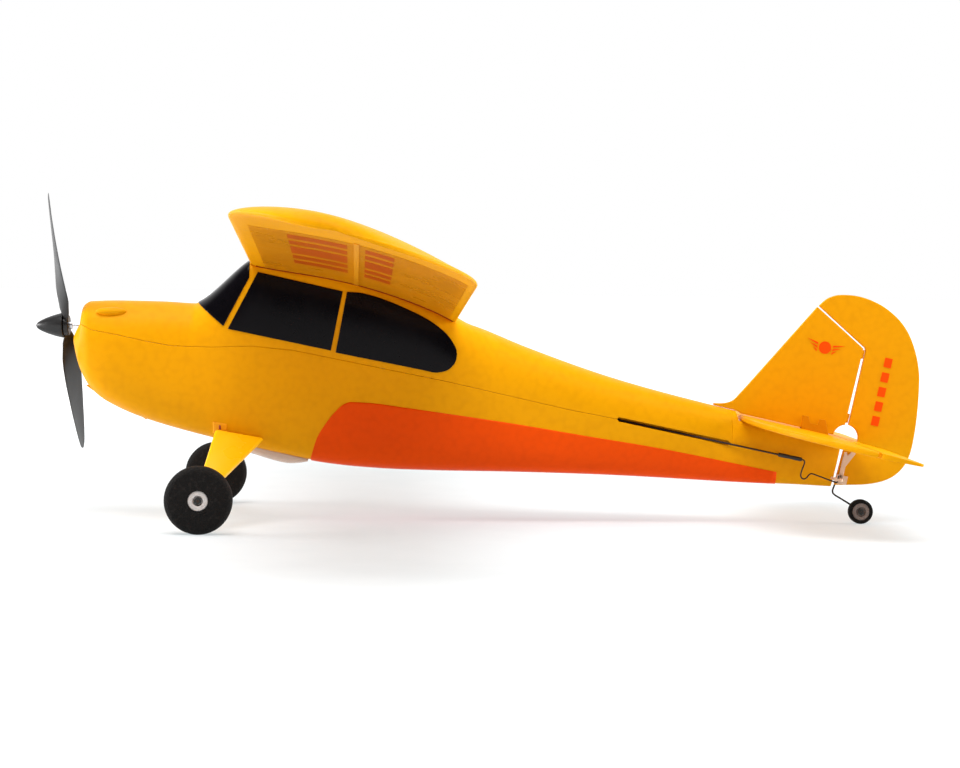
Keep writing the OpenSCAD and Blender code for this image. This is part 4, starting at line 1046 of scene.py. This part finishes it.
def build_propeller():
    shares = [BLADE_ROOT + (1 - BLADE_ROOT) * (i / 40) ** 0.9 for i in range(41)]
    first = math.radians(-BLADE_TURN)
    parts = [loft([blade_ring(share, turn) for share in shares]) for turn in (first, first + math.pi)]
    bore, edge = 0.52, 0.3
    profile = [(-HUB_LEN, bore), (-HUB_LEN, HUB_R - edge), (-HUB_LEN + edge, HUB_R), (-0.1 - edge, HUB_R),
               (-0.1, HUB_R - edge), (-0.1, bore), (-HUB_LEN, bore)]
    parts.append(lathe(profile, SHAFT_FOOT, SHAFT_DIR, 64))
    add_piece("two_blade_propeller", *join(*parts), "black_plastic", body="propeller",
              replaces=["propeller"], sharp=40)


def build_spinner():
    """Pointed nose piece with a socket for the shaft's end."""
    steps, point_r = 30, 0.001
    ogive = [(SPINNER_LEN * t, SPINNER_R * math.sqrt(max(0, 1 - t ** 1.5)) * (1 - 0.25 * t))
             for t in (1 - math.cos(math.pi / 2 * i / steps) for i in range(steps))]
    ogive.append((SPINNER_LEN, point_r))
    profile = [(2.0, point_r), (2.0, 0.56), (0.0, 0.56), (0.0, SPINNER_R - 0.35), (0.1, SPINNER_R - 0.1)]
    profile += [p for p in ogive if p[0] > 0.25]
    add_piece("pointed_spinner", *lathe(profile, SHAFT_FOOT, SHAFT_DIR, 96), "black_plastic",
              body="propeller", replaces=["spinner"], sharp=40)


# ---- undercarriage ----

def wheel_centre(joint):
    """A wheel joint's place in millimetres."""
    return Vector(JOINTS[joint]["pos_m"]) / MM


def tyre_profile(radius, bore, width, round_r):
    """Closed section of a foam ring, from its bore round the outside and back."""
    half = width / 2

    def corner(end, a):
        return (end * (half - round_r + round_r * math.sin(a)), radius - round_r + round_r * math.cos(a))

    path = [(-half, bore)]
    path += [corner(-1, a) for a in np.linspace(math.pi / 2, 0, 12)]
    path += [corner(1, a) for a in np.linspace(0, math.pi / 2, 12)]
    return path + [(half, bore), (-half, bore)]


def hub_profile(radius, width, bore, recess):
    """Section of a hub with a recess in both faces."""
    half, edge = width / 2, 0.22
    deep = width / 4
    side = [(half - deep, bore), (half - deep, recess), (half - edge, recess), (half, recess + edge),
            (half, radius - edge), (half - edge, radius)]
    return side[::-1] + [(-s, r) for s, r in side] + [side[-1]]


def build_wheel(body, tyre_name, tyre, hub_name, hub, hub_slot, nodes, segments):
    """A sponge tyre on its hub, from the numbers of their profiles and their segments."""
    centre = wheel_centre(body + "_spin")
    add_piece(tyre_name, *lathe(tyre_profile(*tyre), centre, (0, 1, 0), segments[0]), "foam_tyre",
              body=body, replaces=[nodes[0]])
    add_piece(hub_name, *lathe(hub_profile(*hub)[::-1], centre, (0, 1, 0), segments[1]), hub_slot,
              body=body, replaces=[nodes[1]])


def build_wheels():
    for word, _ in SIDES:
        build_wheel(word + "_wheel", "sponge_tyre_" + word, (13.35, 4.0, 9.0, 2.7), "wheel_hub_" + word,
                    (3.98, 8.4, 0.65, 2.0), "hub_plastic", ("tyre_" + word, "hub_" + word), (128, 96))
    build_wheel("tail_wheel", "tail_sponge_tyre", (5.13, 3.7, 3.6, 0.7), "tail_wheel_hub",
                (3.68, 3.2, 0.45, 1.9), "tail_hub_plastic", ("tail_tyre", "tail_hub"), (96, 80))


LEG_TOP = (-108.3, 16.0, 37.0)
AXLE = wheel_centre("left_wheel_spin")
HALF_TRACK = abs(AXLE.y)


def leg_route(side):
    """Wire of one gear leg, from inside the belly to its end outside the wheel."""
    x, z = LEG_TOP[0], LEG_TOP[2]
    return [(x, side * 9, z), (x, side * 13, z), (x, side * 16.4, z), (x - 0.2, side * 18.6, z - 0.6),
            (x - 0.5, side * 21, z - 1.8), (x - 2.7, side * 38.7, 25.1),
            (AXLE.x + 0.3, side * 56.4, AXLE.z + 1.6), (AXLE.x, side * 58.6, AXLE.z + 0.3),
            (AXLE.x, side * 60.2, AXLE.z), (AXLE.x, side * 64, AXLE.z),
            (AXLE.x, side * (HALF_TRACK + 4.4), AXLE.z)]


# corners of a leg's fairing, ahead and behind, at the belly and at the wheel
LEG_FRONT = np.array([(-108.5, 18.2, 36.7), (-113.4, 55.5, 16.2)])
LEG_REAR = np.array([(-91.2, 18, 33.8), (-110.6, 55.5, 15.6)])
LEG_ROUND = 1.1         # radius of its edges
GEAR_WIRE = 0.58


def leg_plate(side):
    """Flat fairing with round edges and rounded ends."""
    chordwise = LEG_REAR[0] - LEG_FRONT[0]
    chordwise /= np.linalg.norm(chordwise)
    out = (LEG_FRONT[1] + LEG_REAR[1] - LEG_FRONT[0] - LEG_REAR[0]) / 2
    normal = np.cross(chordwise, out / np.linalg.norm(out))
    normal /= np.linalg.norm(normal)
    rings = []
    for s in [-0.02, -0.016, -0.008, *np.linspace(0, 1, 18), 1.008, 1.016, 1.02]:
        past = max(0.0, -s, s - 1) / 0.0205
        r = LEG_ROUND * math.sqrt(max(0.02, 1 - past ** 2))
        ring = []
        for corners, start in ((LEG_FRONT, math.pi / 2), (LEG_REAR, -math.pi / 2)):
            centre = corners[0] + (corners[1] - corners[0]) * s
            ring += [centre + r * (math.cos(a) * chordwise + math.sin(a) * normal)
                     for a in np.linspace(start, start + math.pi, 9)]
        rings.append([(p[0], side * p[1], p[2]) for p in ring])
    return loft(rings)


def build_gear():
    both_sides("gear_side_plate", spread((-110.4, -104.9, 0.5)), line((-110.4, 41), (-104.9, 40.2)),
               line((-110.4, 36.4), (-104.9, 35.2)), "plate_plastic", ["gear_side_plates"], thick=0.25,
               columns=12, lift=0.02)
    # a thin dark red sheet over each gear plate's slot: painted shade in the slot, in the lead sheath's colour
    both_sides("gear_slot_shade", spread((-108, -107.2, 0.2)), line((-108, 39.7), (-107.2, 39.5)),
               line((-108, 37.9), (-107.2, 37.7)), "lead_sheath", thick=0.05, columns=6, lift=0.26)
    wires = [tube(smooth_route(leg_route(side), 6), GEAR_WIRE) for side in (-1, 1)]
    wires.append(tube([(LEG_TOP[0], y, LEG_TOP[2]) for y in (-10, 0, 10)], GEAR_WIRE))
    add_piece("gear_legs_wire", *join(*wires), "wire_steel", replaces=["gear_wire"])
    for word, side in SIDES:
        add_piece("leg_plate_" + word, *leg_plate(side), "fairing_plastic", replaces=["leg_fairing_" + word])
    route = [(151.8, 0, 24), (149.6, 0, 18.6), (148.3, 0.2, 15.4), (147.9, 0.6, 13.6), (148.7, 1.3, 12.1),
             (152.2, 2.0, 10.0), (157.2, 2.9, 7.0), (159.0, 3.1, 5.7), (159.7, 2.6, 5.13), (159.7, 0.4, 5.13),
             (159.7, -2.4, 5.13)]
    add_piece("tail_strut_wire", *tube(smooth_route(route, 6), 0.39), "wire_steel", body="rudder",
              replaces=["tail_wheel_wire"])


# ---- pushrods ----

ROD_ANGLE = math.radians(11.5)
ROD_REF = (56.0, 43.1)
HORN_ARM = 9.4


def on_rod(side, x, y, z):
    """Local +X aft along a side's pushrod."""
    return (ROD_REF[0] + x * math.cos(ROD_ANGLE) + z * math.sin(ROD_ANGLE), side * HORN_ARM + y,
            ROD_REF[1] - x * math.sin(ROD_ANGLE) + z * math.cos(ROD_ANGLE))


RUDDER_BEND = [
    (78.6, 0, 0), (79.6, 0, -0.3), (79.9, 0, -1.4), (79.5, 0, -4), (79.4, 0, -6.2), (80, 0, -7.4),
    (81, 0, -7.7), (82, 0, -7.1), (82.8, 0, -5.6), (83.8, 0, -4.9), (86, 0, -5.1), (93.6, 0, -6.2),
    (94.8, 0, -6.2), (95.1, 0, -5.6), (95.1, 0, -3.2)]
ELEVATOR_BEND = [
    (78.6, 0, 0), (80, 0, 0.3), (84, 0, 1.3), (86, 0, 1.5), (93.6, 0, 1.5), (94.3, 0.2, 1.5), (94.6, 1, 1.5),
    (94.6, 3.4, 1.5)]
# shrunk sleeve over the joint of rod and bent wire: distance along the rod and radius
SLEEVE = [
    (68.3, 0.5), (68.35, 0.72), (68.7, 0.85), (72, 0.87), (73.5, 0.8), (75, 0.86), (78, 0.85), (78.5, 0.7),
    (78.6, 0.42)]


def build_rods():
    for word, side in SIDES:
        floor = [(x, side * (HORN_ARM - 1.3), ROD_REF[1] - (x - ROD_REF[0]) * math.tan(ROD_ANGLE) + h)
                 for x in np.linspace(SLOT[0] - 1, SLOT[1], 12) for h in (-1.6, 1.6)]
        thickened(add_piece("rod_channel_" + word, floor, strip_faces(12, 2), "yellow_foam"), 0.3, 0)
    for word, side, bend in (("rudder", -1, RUDDER_BEND), ("elevator", 1, ELEVATOR_BEND)):
        body = word + "_pushrod"
        rod = tube([on_rod(side, x, 0, 0) for x in np.linspace(-86, 68.2, 12)], 0.4)
        hook = tube(smooth_route([on_rod(side, *p) for p in [(76, 0, 0)] + bend], 5), 0.31)
        add_piece(word + "_rod_wire", *join(rod, hook), "wire_steel", body=body, replaces=[body])
        rings = [[on_rod(side, x, r * math.cos(a), r * math.sin(a)) for a in around(28)] for x, r in SLEEVE]
        add_piece(word + "_rod_sleeve", *loft(rings), "heat_shrink", body=body,
                  replaces=[word + "_coupler"])


# ---- battery hatch ----

HATCH_FOOT = Vector(JOINTS["hatch_hinge"]["pos_m"]) / MM
BELLY_SLOPE = math.radians(12.8)
HATCH_LEN, HATCH_HALF, HATCH_DEPTH = 33.5, BAY_HALF - 0.4, 3.1
HATCH_SQUARE = 3.2      # how square its section is, from 2 for an ellipse


def on_belly(x, y, z):
    """Local +X aft along the belly from the hatch hinge."""
    return (HATCH_FOOT.x + x * math.cos(BELLY_SLOPE) + z * math.sin(BELLY_SLOPE), y,
            HATCH_FOOT.z - x * math.sin(BELLY_SLOPE) + z * math.cos(BELLY_SLOPE))


def hatch_drop(x):
    """Depth of the cover's bulge below the belly."""
    fore = HATCH_DEPTH * max(0.0, math.sin(math.pi * min(x, 24) / 48)) ** 0.6
    return fore * (max(0.0, 1 - ((x - 20) / (HATCH_LEN - 19.5)) ** 2.6) if x > 20 else 1)


def build_hatch():
    rows = []
    for x in spread((0.6, 4, 0.5), (4, 24, 1.5), (24, 30, 1), (30, HATCH_LEN - 0.5, 0.35)):
        deep = hatch_drop(x) + 0.6 * min(1, max(0.1, (HATCH_LEN - x) / 8))
        row = [on_belly(x, -HATCH_HALF, 1.2)]
        for a in np.linspace(math.pi, 2 * math.pi, 41):
            y = math.copysign(abs(math.cos(a)) ** (2 / HATCH_SQUARE), math.cos(a)) * HATCH_HALF
            row.append(on_belly(x, y, -deep * abs(math.sin(a)) ** (2 / HATCH_SQUARE)))
        rows.append(row + [on_belly(x, HATCH_HALF, 1.2)])
    cover = add_sheet("belly_cover", rows, "hatch_plastic", body="battery_hatch", replaces=["battery_hatch"])
    outward(cover, 2, -1)
    thickened(cover, 0.7, -1.0)
    barrel = tube([on_belly(0, y, 0) for y in (-5, -1, 1, 5)], 1.0, 24)
    tongue = plate([(0.4, -5), (4.6, -5), (4.6, 5), (0.4, 5)], lambda u, v, w: on_belly(u, v, w - 0.6), 1.0)
    add_piece("cover_hinge", *join(barrel, tongue), "hatch_plastic", body="battery_hatch")


# ---- stage, camera and lights ----

def build_stage():
    """A pale paper floor that glows brighter away from the model."""
    half = 6.0
    corners = [(-half, -half, 0), (half, -half, 0), (half, half, 0), (-half, half, 0)]
    mesh = bpy.data.meshes.new("studio_floor")
    mesh.from_pydata(corners, [], [(0, 1, 2, 3)])
    floor = bpy.data.objects.new("studio_floor", mesh)
    bpy.context.scene.collection.objects.link(floor)
    mat, shader, node, link = new_material("floor_paper")
    place = node("TexCoord").outputs["Object"]
    fibre = node("TexNoise", {"Vector": place}, in_Scale=40.0, in_Detail=5.0).outputs["Fac"]
    paper = ramp(node, fibre, [(0.3, (0.40, 0.405, 0.41)), (0.7, (0.42, 0.425, 0.43))])
    link(paper, shader.inputs["Base Color"])
    # its glow lets the floor run into the white background
    reach = node("VectorMath", {0: place}, operation="LENGTH").outputs["Value"]
    glow = ramp(node, reach, [(0.3, (0.41, 0.455, 0.47)), (0.8, (1, 1, 1))])
    link(glow, shader.inputs["Emission Color"])
    shader.inputs["Emission Strength"].default_value = 1.0
    shader.inputs["Roughness"].default_value = 0.9
    shader.inputs["Specular IOR Level"].default_value = 0.1
    mesh.materials.append(mat)


def build_world():
    """A white cyclorama behind the model and a dim room on the camera's side."""
    world = bpy.data.worlds.new("studio")
    bpy.context.scene.world = world
    world.use_nodes = True
    tree = world.node_tree
    place = tree.nodes.new("ShaderNodeTexCoord")
    split = tree.nodes.new("ShaderNodeSeparateXYZ")
    tree.links.new(place.outputs["Generated"], split.inputs["Vector"])
    fade = tree.nodes.new("ShaderNodeMapRange")
    fade.interpolation_type = "SMOOTHSTEP"
    tree.links.new(split.outputs["Y"], fade.inputs["Value"])
    for socket, value in (("From Min", 0.0), ("From Max", 0.6), ("To Min", 0.08), ("To Max", 1.0)):
        fade.inputs[socket].default_value = value
    # the room is seen as plain white from every side, and only lights the model by the gradient
    seen = tree.nodes.new("ShaderNodeLightPath")
    brighter = tree.nodes.new("ShaderNodeMath")
    brighter.operation = "MAXIMUM"
    tree.links.new(fade.outputs["Result"], brighter.inputs[0])
    tree.links.new(seen.outputs["Is Camera Ray"], brighter.inputs[1])
    tree.links.new(brighter.outputs["Value"], tree.nodes["Background"].inputs["Strength"])
    tree.nodes["Background"].inputs["Color"].default_value = (1, 1, 1, 1)
    bpy.context.scene.view_settings.view_transform = "Standard"


def area_light(name, location, aim, size, power):
    """A soft box in watts, turned towards a point."""
    data = bpy.data.lights.new(name, "AREA")
    data.shape = "RECTANGLE"
    data.size, data.size_y = size
    data.energy = power
    light = bpy.data.objects.new(name, data)
    light.location = location
    light.rotation_euler = (Vector(aim) - Vector(location)).to_track_quat("-Z", "Y").to_euler()
    bpy.context.scene.collection.objects.link(light)


def build_lights():
    """The key stands high on the camera's side, so that the wing shades the fuselage below it."""
    middle = (0, 0, 0.06)
    area_light("key_softbox", (-0.1, -0.75, 1.5), middle, (1.6, 0.7), 24)
    area_light("left_softbox", (-1.3, 0.0, 0.3), middle, (0.7, 0.5), 18)
    area_light("right_softbox", (1.3, 0.0, 0.3), middle, (0.7, 0.5), 18)
    area_light("top_softbox", (-0.2, 0.0, 1.7), middle, (1.2, 1.0), 10)


def build_camera():
    """The photo's viewpoint: at the wing's height and 1.08 m off the port side."""
    data = bpy.data.cameras.new("camera")
    data.lens = 97.4
    data.sensor_width = 36
    camera = bpy.data.objects.new("camera", data)
    camera.location = (-0.0522, -1.0778, 0.1106)
    look = (Vector((-0.0009, 0, 0.0568)) - camera.location).to_track_quat("-Z", "Y")
    roll = Matrix.Rotation(0.0143, 4, "Z")
    camera.matrix_world = Matrix.Translation(camera.location) @ look.to_matrix().to_4x4() @ roll
    data.clip_start = 0.01
    bpy.context.scene.collection.objects.link(camera)
    bpy.context.scene.camera = camera


build_upper()
build_lower()
build_lugs()
build_windows()
build_panel()
build_wing()
build_tail()
build_propeller()
build_spinner()
build_wheels()
build_gear()
build_rods()
build_hatch()
build_stage()
build_world()
build_lights()
build_camera()
